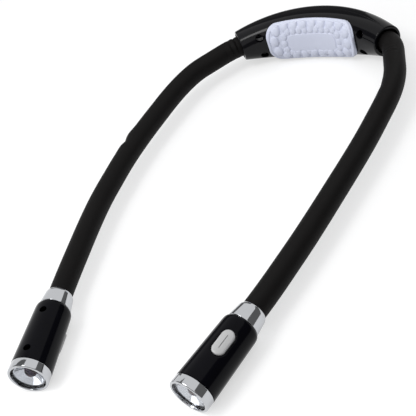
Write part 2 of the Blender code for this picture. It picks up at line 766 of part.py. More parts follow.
def make_cells(root, materials):
    body_end = CELL_LENGTH / 2 - CELL_NUB_LENGTH
    profile = [(-CELL_LENGTH / 2, CELL_RADIUS), (body_end, CELL_RADIUS),
               (body_end, CELL_NUB_RADIUS), (CELL_LENGTH / 2, CELL_NUB_RADIUS)]
    for number, level in enumerate((1, -1), start=1):
        frame = axis_frame(bay_place(0.0, CELL_OUTWARD, level * CELL_RISE), Vector((level, 0.0, 0.0)))
        add_mesh("battery_cell_%d" % number, *spun(profile, frame, SMALL_SEGMENTS), root, materials["cell"])


def make_contact(name, side, low_rise, high_rise, levels, root, materials):
    near, far = side * CONTACT_FRONT, side * CONTACT_BACK
    low = (min(near, far), CELL_OUTWARD - CONTACT_HALF_DEPTH, low_rise)
    high = (max(near, far), CELL_OUTWARD + CONTACT_HALF_DEPTH, high_rise)
    plate = add_mesh(name, *box(bay_place, low, high), root, materials["brass"])
    profile = [(-CONTACT_LAP, CONTACT_SPRING_RADIUS), (CONTACT_SPRING_LENGTH, CONTACT_TIP_RADIUS)]
    springs = []
    for level in levels:
        frame = axis_frame(bay_place(near, CELL_OUTWARD, level * CELL_RISE), Vector((-side, 0.0, 0.0)))
        springs.append(spun(profile, frame, SMALL_SEGMENTS))
    combine(plate, "UNION", name + "_springs", springs, root)


def make_contacts(root, materials):
    make_contact("contact_bridge", -1, -CONTACT_HALF_HEIGHT, CONTACT_HALF_HEIGHT, (-1, 1), root, materials)
    make_contact("contact_positive", 1, FIT_GAP, CONTACT_HALF_HEIGHT, (1,), root, materials)
    make_contact("contact_negative", 1, -CONTACT_HALF_HEIGHT, -FIT_GAP, (-1,), root, materials)


def make_leads(root, materials):
    """The right lead leaves the upper contact. The left lead runs under the cells from the lower one."""
    start = CONTACT_BACK + FIT_GAP
    outside = BAY_OUTSIDE + LEAD_BEND
    anchor_turn = HOUSING_HALF_TURN - (ANCHOR_START + ANCHOR_LENGTH + ANCHOR_TAIL + FIT_GAP) / HOUSING_RADIUS
    near_turn = (anchor_turn + bay_turn(outside)) / 2
    right = [bay_place(start, CELL_OUTWARD, LEAD_RISE), bay_place(outside, CELL_OUTWARD, LEAD_RISE),
             housing_place(near_turn, 0.0, LEAD_BEND), housing_place(anchor_turn, 0.0, 0.0)]
    left = [bay_place(start, CELL_OUTWARD, -LEAD_RISE), bay_place(outside, CELL_OUTWARD, -LEAD_RISE),
            bay_place(outside + LEAD_BEND, CELL_OUTWARD, -(LEAD_RISE + LEAD_FLOOR_RISE) / 2),
            bay_place(outside, CELL_OUTWARD, -LEAD_FLOOR_RISE), bay_place(0.0, CELL_OUTWARD, -LEAD_FLOOR_RISE),
            bay_place(-outside, CELL_OUTWARD, -LEAD_FLOOR_RISE),
            housing_place(-near_turn, 0.0, -LEAD_BEND), housing_place(-anchor_turn, 0.0, 0.0)]
    add_mesh("right_lead", *tube(route_through(right, ROUND_STEPS + 1), LEAD_RADIUS, SMALL_SEGMENTS // 2),
             root, materials["wire"])
    add_mesh("left_lead", *tube(route_through(left, ROUND_STEPS + 1), LEAD_RADIUS, SMALL_SEGMENTS // 2),
             root, materials["wire"])


# Arms

class Course:
    """The centre line of an arm, by length from its mouth. It is straight on both sides of each bend."""

    def __init__(self, name):
        self.side = ARM_SIDE[name]
        self.length = ARM_LENGTH[name]
        self.bends = [share * self.length for share in BEND_SHARES]
        self.slope = (BEZEL_RADIUS - MOUTH_HEIGHT) / (self.length + LAMP_LENGTH)
        self.headings = np.radians((math.degrees(math.pi / 2 - HOUSING_HALF_TURN),) + ARM_HEADINGS[name][1:])
        lengths = np.linspace(0.0, self.length, COURSE_STEPS + 1)
        middles = (lengths[1:] + lengths[:-1]) / 2
        heading = self.heading(middles)
        step = self.length / COURSE_STEPS
        level = math.sqrt(1 - self.slope ** 2)
        start = housing_place(self.side * HOUSING_HALF_TURN, 0.0, 0.0)
        self.lengths = lengths
        self.x = start.x + np.append(0.0, np.cumsum(self.side * np.sin(heading) * step * level))
        self.y = start.y + np.append(0.0, np.cumsum(-np.cos(heading) * step * level))
        self.z = start.z + self.slope * lengths

    def heading(self, length):
        """The heading at a length, held over the straight stretch at each bend."""
        places = [0.0]
        held = [0.0]
        for bend in self.bends:
            places += [bend - HINGE_STRAIGHT, bend + HINGE_STRAIGHT]
            held += [bend, bend]
        places.append(self.length)
        held.append(self.length)
        share = np.interp(length, places, held) / self.length
        return smooth_values(HEADING_SHARES, self.headings, share)

    def point(self, length):
        if length < 0.0:
            return housing_place(self.side * (HOUSING_HALF_TURN + length / HOUSING_RADIUS), 0.0, 0.0)
        place = min(length, self.length)
        point = Vector([float(np.interp(place, self.lengths, values)) for values in (self.x, self.y, self.z)])
        return point + (length - place) * self.tangent(place)

    def tangent(self, length):
        if length < 0.0:
            ahead = self.point(length + FIT_GAP) - self.point(length - FIT_GAP)
            return ahead.normalized()
        heading = float(self.heading(min(length, self.length)))
        level = math.sqrt(1 - self.slope ** 2)
        return Vector((self.side * math.sin(heading) * level, -math.cos(heading) * level, self.slope))

    def frame(self, length):
        """A frame on the course: X level, Y up and Z along the arm."""
        ahead = self.tangent(length)
        across = Vector((0.0, 0.0, 1.0)).cross(ahead).normalized()
        up = ahead.cross(across)
        frame = Matrix((across, up, ahead)).transposed().to_4x4()
        frame.translation = self.point(length)
        return frame


def course_solid(course, rings, segments, closed):
    """A solid along a course, from (length, radius) rings."""
    points = []
    for length, radius in rings:
        frame = course.frame(length)
        for step in range(segments):
            angle = 2 * math.pi * step / segments
            points.append(frame @ Vector((radius * math.cos(angle), radius * math.sin(angle), 0.0)))
    return points, ring_faces(len(rings), segments, closed)


def even_lengths(start, end):
    """Lengths from start to end, no further apart than the ring spacing."""
    count = max(2, math.ceil(abs(end - start) / RING_SPACING) + 1)
    return np.linspace(start, end, count).tolist()


def cup_ring(radius):
    """How far past a bend the hollow end of a sleeve is, at a radius."""
    return math.sqrt(CUP_RADIUS ** 2 - radius ** 2)


def sleeve_rings(course, number):
    """The rings of one sleeve, from its hollow end over its outside to its ball end and back inside."""
    first = number == 1
    last = number == len(BEND_SHARES) + 1
    start = -SLEEVE_INSET if first else course.bends[number - 2] + cup_ring(SLEEVE_RADIUS)
    inner_start = -SLEEVE_INSET if first else course.bends[number - 2] + cup_ring(SLEEVE_BORE)
    end = course.length + SLEEVE_END if last else course.bends[number - 1]
    rings = [(length, SLEEVE_RADIUS) for length in even_lengths(start, end)]
    inner_end = end
    if not last:
        widest = math.acos(SLEEVE_BORE / SLEEVE_RADIUS)
        for step in range(1, BALL_STEPS + 1):
            angle = widest * step / BALL_STEPS
            rings.append((end + SLEEVE_RADIUS * math.sin(angle), SLEEVE_RADIUS * math.cos(angle)))
        inner_end = rings.pop()[0]
    rings += [(length, SLEEVE_BORE) for length in even_lengths(inner_end, inner_start)]
    if not first:
        for step in range(1, CUP_STEPS):
            radius = SLEEVE_BORE + (SLEEVE_RADIUS - SLEEVE_BORE) * step / CUP_STEPS
            rings.append((course.bends[number - 2] + cup_ring(radius), radius))
    return rings


def make_arm(name, course, root, materials):
    """The sleeves and cores of one arm. Returns the last bend, which carries the lamp."""
    anchor_end = -(ANCHOR_START + ANCHOR_LENGTH)
    rings = [(anchor_end - ANCHOR_TAIL, CORE_RADIUS), (anchor_end, CORE_RADIUS), (anchor_end, ANCHOR_RADIUS),
             (-ANCHOR_START, ANCHOR_RADIUS), (-ANCHOR_START, CORE_RADIUS)]
    rings += [(length, CORE_RADIUS) for length in even_lengths(-ANCHOR_START, course.bends[0] + CORE_REACH)[1:]]
    add_mesh(name + "_anchor", *course_solid(course, rings, CORE_SEGMENTS, False), root, materials["steel"])
    add_mesh(name + "_sleeve_1", *course_solid(course, sleeve_rings(course, 1), SLEEVE_SEGMENTS, True),
             root, materials["sleeve"])
    carrier = root
    for number in range(2, len(BEND_SHARES) + 2):
        bend = course.bends[number - 2]
        carrier = add_empty("%s_bend_%d" % (name, number - 1), course.frame(bend), carrier)
        last = number == len(BEND_SHARES) + 1
        core_end = course.length + CORE_END if last else course.bends[number - 1] + CORE_REACH
        core = [(length, CORE_RADIUS) for length in even_lengths(bend + CUP_RADIUS + FIT_GAP, core_end)]
        add_mesh("%s_sleeve_%d" % (name, number),
                 *course_solid(course, sleeve_rings(course, number), SLEEVE_SEGMENTS, True),
                 carrier, materials["sleeve"])
        add_mesh("%s_core_%d" % (name, number), *course_solid(course, core, CORE_SEGMENTS, False),
                 carrier, materials["steel"])
    return carrier


# Lamps, in their own frame: Z along the lamp's axis, X towards the screws

def casing_radius(station):
    """The casing's outer radius along its taper."""
    start = SHOULDER_START + SHOULDER_FILLET
    share = (station - start) / (CASING_FRONT - start)
    return SHOULDER_RADIUS + (BEZEL_RADIUS - SHOULDER_RADIUS) * share


def make_collar(name, lamp, materials):
    counterbore = CASING_TAIL_RADIUS + FIT_GAP
    bore = SLEEVE_RADIUS + FIT_GAP
    web_end = SLEEVE_SEAT + COLLAR_WEB
    outside = []
    for step in range(BARREL_STEPS + 1):
        share = step / BARREL_STEPS
        radius = COLLAR_REAR_RADIUS - (COLLAR_REAR_RADIUS - COLLAR_RIM_RADIUS) * (1 - share) ** 2
        outside.append((COLLAR_SWELL * share, radius))
    profile = outside + [(COLLAR_LENGTH - COLLAR_EDGE, COLLAR_RADIUS), (COLLAR_LENGTH, COLLAR_RADIUS - COLLAR_EDGE),
                         (COLLAR_LENGTH, counterbore), (web_end, counterbore), (web_end, COLLAR_WEB_RADIUS),
                         (SLEEVE_SEAT, COLLAR_WEB_RADIUS), (SLEEVE_SEAT, bore), (0.0, bore)]
    add_mesh(name + "_collar", *spun(profile, Matrix(), LATHE_SEGMENTS, True), lamp, materials["chrome"], True)


def casing_rows():
    """Outer and inner (station, radius) of the casing, from its tail to its front."""
    rows = [(TAIL_START, CASING_TAIL_RADIUS, TAIL_START),
            (SHOULDER_START, CASING_TAIL_RADIUS, SHOULDER_START + CASING_WALL)]
    for step in range(ROUND_STEPS + 1):
        angle = math.pi / 2 * step / ROUND_STEPS
        forward = 1 - math.cos(angle)
        rows.append((SHOULDER_START + SHOULDER_FILLET * forward,
                     SHOULDER_RADIUS - SHOULDER_FILLET * (1 - math.sin(angle)),
                     SHOULDER_START + CASING_WALL + FIT_GAP * forward))
    start = SHOULDER_START + SHOULDER_FILLET
    for step in range(1, TAPER_ROWS + 1):
        station = start + (CASING_FRONT - start) * step / TAPER_ROWS
        rows.append((station, casing_radius(station), station))
    return [(station, radius, inner_station, radius - CASING_WALL) for station, radius, inner_station in rows]


def casing_half(facing):
    """Half of the casing, on the screws' side (1) or the button's side (-1)."""
    seam = FIT_GAP / 2
    outer_rows = []
    inner_rows = []
    for station, radius, inner_station, inner_radius in casing_rows():
        outer_row = []
        inner_row = []
        for step in range(HALF_CASING_STEPS + 1):
            share = 2 * step / HALF_CASING_STEPS - 1
            for row, place, size in ((outer_row, station, radius), (inner_row, inner_station, inner_radius)):
                angle = share * math.acos(seam / size)
                row.append(Vector((facing * size * math.cos(angle), size * math.sin(angle), place)))
        outer_rows.append(outer_row)
        inner_rows.append(inner_row)
    return walled(outer_rows, inner_rows)


def lamp_screw_frame(station):
    """A frame on the lamp's axis, with Z along a screw towards its tip."""
    return axis_frame(Vector((0.0, 0.0, station)), Vector((-1.0, 0.0, 0.0)))


def button_frame():
    """The button's frame: X across it, Y along the lamp and Z outward."""
    outward = Vector((math.cos(BUTTON_TURN), math.sin(BUTTON_TURN), 0.0))
    along = Vector((0.0, 0.0, 1.0))
    frame = Matrix((along.cross(outward), along, outward)).transposed().to_4x4()
    frame.translation = Vector((0.0, 0.0, BUTTON_STATION))
    return frame


def prism(loops, frame):
    """A solid through loops of (x, y, z) points in a frame, capped at both ends."""
    points = [frame @ Vector(point) for loop in loops for point in loop]
    return points, ring_faces(len(loops), len(loops[0]), False)


def button_outline(grow):
    """The button's oval, grown all round."""
    half_width = BUTTON_WIDTH / 2 + grow
    half_length = BUTTON_LENGTH / 2 + grow
    return rounded_outline(half_width, half_length, half_width, BUTTON_CORNER_STEPS)


def flat_loop(outline, height):
    return [(x, y, height) for x, y in outline]


def curved_loop(outline, radius):
    """An outline laid on a cylinder about the lamp's axis."""
    return [(x, y, math.sqrt(radius ** 2 - x ** 2)) for x, y in outline]


def make_casing(name, lamp, materials):
    wall_middle = CASING_WALL / 2
    for facing, label in ((1, "screw"), (-1, "button")):
        half = add_mesh("%s_casing_%s_half" % (name, label), *casing_half(facing), lamp, materials["gloss"], True)
        bosses = []
        bores = []
        for station in LAMP_SCREW_STATIONS:
            frame = lamp_screw_frame(station)
            seam = FIT_GAP / 2
            end = casing_radius(station) - wall_middle
            span = (-end, -seam) if facing > 0 else (seam, end)
            bosses.append(spun([(place, LAMP_BOSS_RADIUS) for place in span], frame, SMALL_SEGMENTS))
            if facing > 0:
                head = LAMP_SCREW_HEAD_RADIUS + FIT_GAP
                shank = LAMP_SCREW_SHANK_RADIUS + FIT_GAP
                outside = -BEZEL_RADIUS - CUT_OVERRUN
                profile = [(outside, head), (-LAMP_SCREW_SEAT, head), (-LAMP_SCREW_SEAT, shank),
                           (CUT_OVERRUN, shank)]
            else:
                pilot = LAMP_SCREW_SHANK_RADIUS + PILOT_GAP
                profile = [(-CUT_OVERRUN, pilot), (LAMP_SCREW_TIP + FIT_GAP, pilot)]
            bores.append(spun(profile, frame, SMALL_SEGMENTS))
        if facing < 0:
            outline = button_outline(FIT_GAP)
            bores.append(prism([flat_loop(outline, BUTTON_BASE), flat_loop(outline, BEZEL_RADIUS + CUT_OVERRUN)],
                               button_frame()))
        combine(half, "UNION", "%s_%s_bosses" % (name, label), bosses, lamp, True)
        combine(half, "DIFFERENCE", "%s_%s_bores" % (name, label), bores, lamp, True)


def make_lamp_screws(name, lamp, materials):
    profile = screw_profile(LAMP_SCREW_SEAT + FIT_GAP, LAMP_SCREW_HEAD_RADIUS, LAMP_SCREW_HEAD_HEIGHT,
                            LAMP_SCREW_SHANK_RADIUS, LAMP_SCREW_TIP, LAMP_SCREW_SOCKET)
    for number, station in enumerate(LAMP_SCREW_STATIONS, start=1):
        solid = spun(profile, lamp_screw_frame(station), SMALL_SEGMENTS)
        add_mesh("%s_casing_screw_%d" % (name, number), *solid, lamp, materials["steel"], True)


def make_button(name, lamp, materials):
    """An oval cap that follows the casing's curve, with a flange under the casing's wall."""
    frame = button_frame()
    slide = add_empty(name + "_button_slide", world_frame(lamp) @ frame, lamp)
    skin = casing_radius(BUTTON_STATION)
    under_wall = casing_radius(BUTTON_STATION - BUTTON_LENGTH / 2) - CASING_WALL - FIT_GAP
    loops = [flat_loop(button_outline(BUTTON_FLANGE), BUTTON_BASE),
             curved_loop(button_outline(BUTTON_FLANGE), under_wall),
             curved_loop(button_outline(0.0), under_wall)]
    for step in range(ROUND_STEPS + 1):
        angle = math.pi / 2 * step / ROUND_STEPS
        loops.append(curved_loop(button_outline(-BUTTON_EDGE * (1 - math.cos(angle))),
                                 skin + BUTTON_PROUD - BUTTON_EDGE * (1 - math.sin(angle))))
    add_mesh(name + "_button", *prism(loops, Matrix()), slide, materials["chrome"], True)


def make_switch_board(name, lamp, materials):
    """A board across the casing, under the button, with the switch on it."""
    top = SWITCH_BOARD_RISE + SWITCH_BOARD_THICKNESS
    clear = LAMP_BOSS_RADIUS + FIT_GAP
    low_end = LAMP_SCREW_STATIONS[0] + clear - BUTTON_STATION
    high_end = LAMP_SCREW_STATIONS[1] - clear - BUTTON_STATION
    room = casing_radius(LAMP_SCREW_STATIONS[0] + clear) - CASING_WALL - FIT_GAP
    half_width = math.sqrt(room ** 2 - top ** 2)
    middle = (low_end + high_end) / 2
    plate = rounded_outline(half_width, (high_end - low_end) / 2, BOARD_CORNER, BOARD_CORNER_STEPS)
    plate = [(x, y + middle) for x, y in plate]
    body = rounded_outline(SWITCH_BODY_HALF, SWITCH_BODY_HALF, BOARD_CORNER, BOARD_CORNER_STEPS)
    plunger = rounded_outline(PLUNGER_RADIUS, PLUNGER_RADIUS, PLUNGER_RADIUS, BOARD_CORNER_STEPS)
    body_top = top + SWITCH_BODY_HEIGHT
    plunger_top = BUTTON_BASE - BUTTON_TRAVEL - FIT_GAP
    loops = [flat_loop(plate, SWITCH_BOARD_RISE), flat_loop(plate, top), flat_loop(body, top),
             flat_loop(body, body_top), flat_loop(plunger, body_top), flat_loop(plunger, plunger_top)]
    add_mesh(name + "_switch_board", *prism(loops, button_frame()), lamp, materials["board"], True)


def make_light_source(name, lamp, materials):
    board_radius = casing_radius(LED_BOARD_FRONT - LED_BOARD_THICKNESS) - CASING_WALL - FIT_GAP
    board = [(LED_BOARD_FRONT - LED_BOARD_THICKNESS, board_radius), (LED_BOARD_FRONT, board_radius)]
    add_mesh(name + "_led_board", *spun(board, Matrix(), LATHE_SEGMENTS), lamp, materials["board"], True)
    start = SKIRT_START
    led = [(start, LED_RADIUS)]
    for step in range(ROUND_STEPS):
        angle = math.pi / 2 * step / ROUND_STEPS
        led.append((start + LED_HEIGHT / 2 * (1 + math.sin(angle)), LED_RADIUS * math.cos(angle)))
    add_mesh(name + "_led", *spun(led, Matrix(), SMALL_SEGMENTS), lamp, materials["led"], True)


def make_reflector(name, lamp, materials):
    """A bowl whose radius grows as a parabola's from its throat to its front."""
    front_radius = LENS_RADIUS - REFLECTOR_WALL
    inside = []
    for step in range(BOWL_STEPS + 1):
        share = (step / BOWL_STEPS) ** 2
        radius = math.sqrt(REFLECTOR_THROAT_RADIUS ** 2
                           + (front_radius ** 2 - REFLECTOR_THROAT_RADIUS ** 2) * share)
        inside.append((SKIRT_START + (REFLECTOR_FRONT - SKIRT_START) * share, radius))
    outside = [(max(station - REFLECTOR_WALL, SKIRT_START), radius + REFLECTOR_WALL) for station, radius in inside]
    profile = inside + [(REFLECTOR_FRONT, LENS_RADIUS)] + list(reversed(outside))
    add_mesh(name + "_reflector", *spun(profile, Matrix(), LATHE_SEGMENTS, True), lamp, materials["mirror"], True)


def make_lens(name, lamp, materials):
    profile = [(LENS_BACK, LENS_RADIUS), (LENS_FRONT - LENS_EDGE, LENS_RADIUS),
               (LENS_FRONT, LENS_RADIUS - LENS_EDGE)]
    add_mesh(name + "_lens", *spun(profile, Matrix(), LATHE_SEGMENTS), lamp, materials["lens"], True)


def make_bezel(name, lamp, materials):
    skirt_radius = casing_radius(SKIRT_START) - CASING_WALL - FIT_GAP
    flange = LAMP_LENGTH - BEZEL_LENGTH
    profile = [(SKIRT_START, skirt_radius), (flange, skirt_radius), (flange, BEZEL_RADIUS)]
    for step in range(ROUND_STEPS + 1):
        angle = math.pi / 2 * step / ROUND_STEPS
        profile.append((LAMP_LENGTH - BEZEL_ROUND * (1 - math.sin(angle)),
                        BEZEL_RADIUS - BEZEL_ROUND * (1 - math.cos(angle))))
    profile += [(LAMP_LENGTH, BEZEL_LIP_RADIUS + COLLAR_EDGE), (LAMP_LENGTH - COLLAR_EDGE, BEZEL_LIP_RADIUS),
                (LAMP_LENGTH - BEZEL_LIP, BEZEL_LIP_RADIUS), (LAMP_LENGTH - BEZEL_LIP, LENS_BORE_RADIUS),
                (flange + BEZEL_STEP, LENS_BORE_RADIUS), (flange + BEZEL_STEP, BEZEL_BORE_RADIUS),
                (SKIRT_START, BEZEL_BORE_RADIUS)]
    add_mesh(name + "_bezel", *spun(profile, Matrix(), LATHE_SEGMENTS, True), lamp, materials["chrome"], True)


def make_lamp(name, course, carrier, materials):
    frame = course.frame(course.length) @ Matrix.Rotation(LAMP_TURN[name], 4, "Z")
    lamp = add_empty(name + "_lamp", frame, carrier)
    make_collar(name, lamp, materials)
    make_casing(name, lamp, materials)
    make_lamp_screws(name, lamp, materials)
    make_button(name, lamp, materials)
    make_switch_board(name, lamp, materials)
    make_light_source(name, lamp, materials)
    make_reflector(name, lamp, materials)
    make_lens(name, lamp, materials)
    make_bezel(name, lamp, materials)


def main():
    clear_scene()
    materials = make_materials()
    root = add_empty("housing", Matrix())
    make_shells(root, materials)
    make_battery_door(root, materials)
    make_housing_screws(root, materials)
    make_neck_pad(root, materials)
    make_cells(root, materials)
    make_contacts(root, materials)
    make_leads(root, materials)
    for name in ARM_SIDE:
        course = Course(name)
        carrier = make_arm(name, course, root, materials)
        make_lamp(name, course, carrier, materials)


main()
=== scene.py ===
import json
from math import acos, ceil, cos, degrees, exp, pi, radians, sin, sqrt

import bmesh
import bpy
import numpy as np
from mathutils import Matrix, Vector


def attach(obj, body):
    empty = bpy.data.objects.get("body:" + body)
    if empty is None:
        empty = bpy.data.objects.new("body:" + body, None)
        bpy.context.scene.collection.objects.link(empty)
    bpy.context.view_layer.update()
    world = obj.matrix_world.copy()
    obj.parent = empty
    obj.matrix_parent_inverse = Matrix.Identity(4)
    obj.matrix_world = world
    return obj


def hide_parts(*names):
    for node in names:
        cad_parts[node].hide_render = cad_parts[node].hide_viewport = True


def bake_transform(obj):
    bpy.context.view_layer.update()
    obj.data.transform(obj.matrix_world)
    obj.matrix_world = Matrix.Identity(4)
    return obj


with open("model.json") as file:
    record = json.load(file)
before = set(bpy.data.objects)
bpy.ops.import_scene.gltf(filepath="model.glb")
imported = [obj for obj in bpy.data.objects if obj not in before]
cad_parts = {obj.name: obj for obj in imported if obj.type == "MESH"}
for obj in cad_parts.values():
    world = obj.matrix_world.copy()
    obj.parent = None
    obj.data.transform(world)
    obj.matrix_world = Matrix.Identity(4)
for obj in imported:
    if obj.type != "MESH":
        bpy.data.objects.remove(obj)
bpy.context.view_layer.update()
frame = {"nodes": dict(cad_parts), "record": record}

# Fits that the pieces share
FIT_GAP = 0.0003
CUT_OVERRUN = 0.003

# Housing: its course, its sections and its wall
MOUTH_HALF_SPAN = 0.05725
HOUSING_HALF_TURN = radians(38.0)
MOUTH_RADIUS = 0.0111
HOUSING_HALF_HEIGHT = 0.0171
OUTER_HALF_DEPTH = 0.0107
INNER_HALF_DEPTH = 0.0147
MIDDLE_TILT = radians(4.0)
MIDDLE_DROP = 0.0014
HOUSING_WALL = 0.0020
MOUTH_EDGE = 0.0009
REST_FLAT_DEPTH = 0.0011
ROUND_SQUARENESS = 2.0
OUTER_SQUARENESS = 3.0
INNER_SQUARENESS = 3.2
SKIN_ROWS = 120
SKIN_STEPS = 44
FINE_STEPS = 1936
SEAM_EDGE = 0.0002
SEAM_STEPS = 3
SEAM_GAP = 0.00008
SHARP_ANGLE = radians(40.0)

# Mouth of the housing: a wide rim, then the bore that holds the sleeve
MOUTH_BORE_RADIUS = 0.0093
MOUTH_RIM_DEPTH = 0.0026
MOUTH_BORE_DEPTH = 0.0045
MOUTH_BORE_END = 0.0090

# Housing screws
HOUSING_SCREW_TURN = radians(28.2)
HOUSING_SCREW_RISE = 0.0074
HOUSING_HOLE_RADIUS = 0.0029
HOUSING_SCREW_SEAT = 0.0048
HOLE_SEGMENTS = 40

# Battery door
DOOR_HALF_LENGTH = 0.0242
DOOR_HALF_HEIGHT = 0.0107
DOOR_CORNER = 0.0016
DOOR_GRIP_COUNT = 5
DOOR_GRIP_PITCH = 0.0021
DOOR_GRIP_HALF_LENGTH = 0.0065
DOOR_GRIP_RADIUS = 0.0005
DOOR_GRIP_RISE = 0.0025
SHARP_END_SHARE = 0.05

# Neck pad
PAD_HALF_TURN = radians(25.0)
PAD_HALF_HEIGHT = 0.0147
PAD_RISE = 0.0005
PAD_CORNER = 0.0105
PAD_END_SHARE = 0.87
PAD_EDGE_THICKNESS = 0.0007
PAD_RIM_THICKNESS = 0.0021
PAD_FLOOR_THICKNESS = 0.0016
PAD_ROUND_WIDTH = 0.0010
PAD_RIM_WIDTH = 0.0019
PAD_STEP_WIDTH = 0.0005
PAD_STEEPNESS_SHARE = 0.0001
PAD_SHARP_ANGLE = radians(70.0)
PAD_COLUMNS = 300
PAD_ROWS = 140
PANEL_HALF_LENGTH = 0.0224
PANEL_HALF_HEIGHT = 0.0068
PANEL_CORNER = 0.0045
PANEL_RISE = -0.0007
PANEL_HEIGHT = 0.0005
BUBBLE_HEIGHT = 0.0014
OUTER_BUBBLE_RADIUS = 0.0039

# Rings of bubbles on the pad: bubble radius, count, and the track's half sizes, corner and rise
BUBBLE_RINGS = (
    (OUTER_BUBBLE_RADIUS, 20, 0.0340, 0.0115, 0.0090, 0.0010),
    (0.0027, 24, 0.0255, 0.0087, 0.0060, 0.0),
)

# Arms
SLEEVE_RADIUS = 0.0075
SLEEVE_INSET = 0.0100
HINGE_STRAIGHT = 0.0085
SLEEVE_STEP = 0.0005
SLEEVE_SEGMENTS = 72
BEND_REACH = 0.0140
COURSE_STEPS = 512
BEND_SHARES = (0.09, 0.34, 0.60, 0.85)
HEADING_SHARES = (0.0, 0.07, 0.16, 0.30, 0.50, 0.75, 1.0)
ARM_LENGTH = {"left": 0.2590, "right": 0.2494}
ARM_SIDE = {"left": -1.0, "right": 1.0}
STRETCH_SLEEVES = ((1,), (2,), (3,), (4, 5))
ARM_HEADINGS = {
    "left": (52.0, 42.1, 21.4, 9.1, 3.0, -7.3, -10.7),
    "right": (52.0, 21.9, 9.0, -3.3, -7.7, -9.4, -14.1),
}

# Folds of the sleeves: place along the arm, width and height, and degrees round the section and of spread
SLEEVE_FOLDS = {
    "left": (
        (0.0030, 0.0007, -0.0007, 80.0, 75.0),
        (0.0044, 0.0009, 0.0003, 60.0, 80.0),
        (0.0072, 0.0008, -0.0006, 40.0, 70.0),
        (0.0090, 0.0010, 0.0003, 50.0, 60.0),
        (0.0130, 0.0009, -0.0003, 20.0, 50.0),
        (0.1150, 0.0050, 0.0007, 165.0, 55.0),
        (0.1235, 0.0030, -0.0010, 160.0, 60.0),
        (0.1290, 0.0060, 0.0003, 160.0, 60.0),
    ),
    "right": (
        (0.0190, 0.0008, -0.0003, 105.0, 22.0),
        (0.0206, 0.0009, 0.0003, 100.0, 26.0),
        (0.0224, 0.0008, -0.0003, 90.0, 20.0),
        (0.0560, 0.0040, -0.0003, 170.0, 50.0),
    ),
}

# Lamp, by distance from the collar's rear rim along the lamp's axis
LAMP_LENGTH = 0.0625
COLLAR_LENGTH = 0.0112
COLLAR_RIM_RADIUS = 0.0081
COLLAR_REAR_RADIUS = 0.0089
COLLAR_RADIUS = 0.0100
COLLAR_SWELL = 0.0024
COLLAR_EDGE = 0.0004
SLEEVE_SEAT = 0.0056
COLLAR_WEB = 0.0010
COLLAR_WEB_RADIUS = 0.0060
CASING_TAIL_RADIUS = 0.0083
CASING_WALL = 0.0014
SHOULDER_RADIUS = 0.0112
SHOULDER_FILLET = 0.0015
SHOULDER_ROUND = 0.0030
SHOULDER_DROP = 0.0014
BEZEL_RADIUS = 0.0124
BEZEL_LENGTH = 0.0062
BEZEL_SKIRT = 0.0025
BEZEL_ROUND = 0.0009
BEZEL_LIP = 0.0010
BEZEL_LIP_RADIUS = 0.0107
BEZEL_BORE_RADIUS = 0.0099
BEZEL_STEP = 0.0008
LENS_BORE_RADIUS = 0.0114
LATHE_SEGMENTS = 128
ROUND_STEPS = 8
QUARTER = [pi / 2 * step / ROUND_STEPS for step in range(ROUND_STEPS + 1)]
TAPER_ROWS = 90
HALF_CASING_STEPS = 72
LAMP_TURN = {"left": radians(88.5), "right": radians(216.5)}
LAMP_SCREW_PLACE_SHARE = 0.3184
LAMP_SCREW_CLEAR = 0.0003
LAMP_BOSS_RADIUS = 0.0024
LED_BOARD_THICKNESS = 0.0015
LAMP_HOLE_RADIUS = 0.0023
LAMP_SCREW_SEAT = 0.0050

# Button
BUTTON_PLACE_SHARE = 0.482
BUTTON_LENGTH_SHARE = 0.264
BUTTON_TURN = radians(-150.0)
BUTTON_WIDTH = 0.0078
BUTTON_PROUD = 0.0009
BUTTON_EDGE = 0.0009
BUTTON_FLANGE = 0.0007
BUTTON_BASE = 0.0079
BUTTON_CORNER_STEPS = 16
BUTTON_LINE_HALF_LENGTH = 0.0044
BUTTON_LINE_HALF_WIDTH = 0.00028
BUTTON_LINE_DEPTH = 0.0006
DISH_WIDTH = 0.0014
DISH_DEPTH = 0.0005

# Light source, reflector and lens
LED_RADIUS = 0.0024
LED_HEIGHT = 0.0014
THROAT_RADIUS = 0.0038
BOWL_RADIUS = 0.0088
BOWL_DEPTH = 0.0034
DOME_HEIGHT = 0.0030
REFLECTOR_WALL = 0.0006
LENS_THICKNESS = 0.0008
LENS_DOME = 0.0003
BOWL_STEPS = 24

# Camera
CAMERA_AZIMUTH = radians(38.242)
CAMERA_ELEVATION = radians(38.972)
CAMERA_ROLL = radians(-23.326)
CAMERA_DISTANCE = 0.64594
CAMERA_ASIDE = -0.01242
CAMERA_AHEAD = -0.16939
FRAME_PIXELS = 416
FOCAL_PIXELS = 1036.863
SENSOR_WIDTH = 36.0

# Floor, cards and lights. A panel is its left, right, front and back, and a card its corner and two sides
FLOOR_HALF_SPAN = 3.0
FLOOR_SHARE = 0.50
FLOOR_GLOW_SHARE = 0.58
FLOOR_NEAR_REACH = 0.45
FLOOR_FAR_REACH = 1.10
ROOM_LEVEL_SHARE = 0.32
ROOM_COLOR = (0.95, 0.97, 1.0, 1.0)
OVERHEAD_RISE = 0.33
OVERHEAD_LEVEL = 0.60
OVERHEAD_PANELS = {
    "middle_panel": (-0.15, 0.33, -0.62, 0.25),
    "left_panel": (-0.80, -0.15, -0.13, 0.25),
}
CARD_LEVEL_SHARE = 0.16
CARDS = {
    "right_card": ((0.33, -0.70, 0.0), (0.0, 1.60, 0.0), (0.0, 0.0, 0.33)),
    "back_card": ((-0.85, 0.30, 0.0), (0.83, 0.0, 0.0), (0.0, 0.0, 0.33)),
    "left_card": ((-0.80, -0.65, 0.33), (0.65, 0.0, 0.0), (0.0, 0.52, 0.0)),
    "front_card": ((-0.40, -0.95, 0.0), (0.80, 0.0, 0.0), (0.0, 0.0, 0.40)),
}
LIGHT_DISTANCE = 0.9

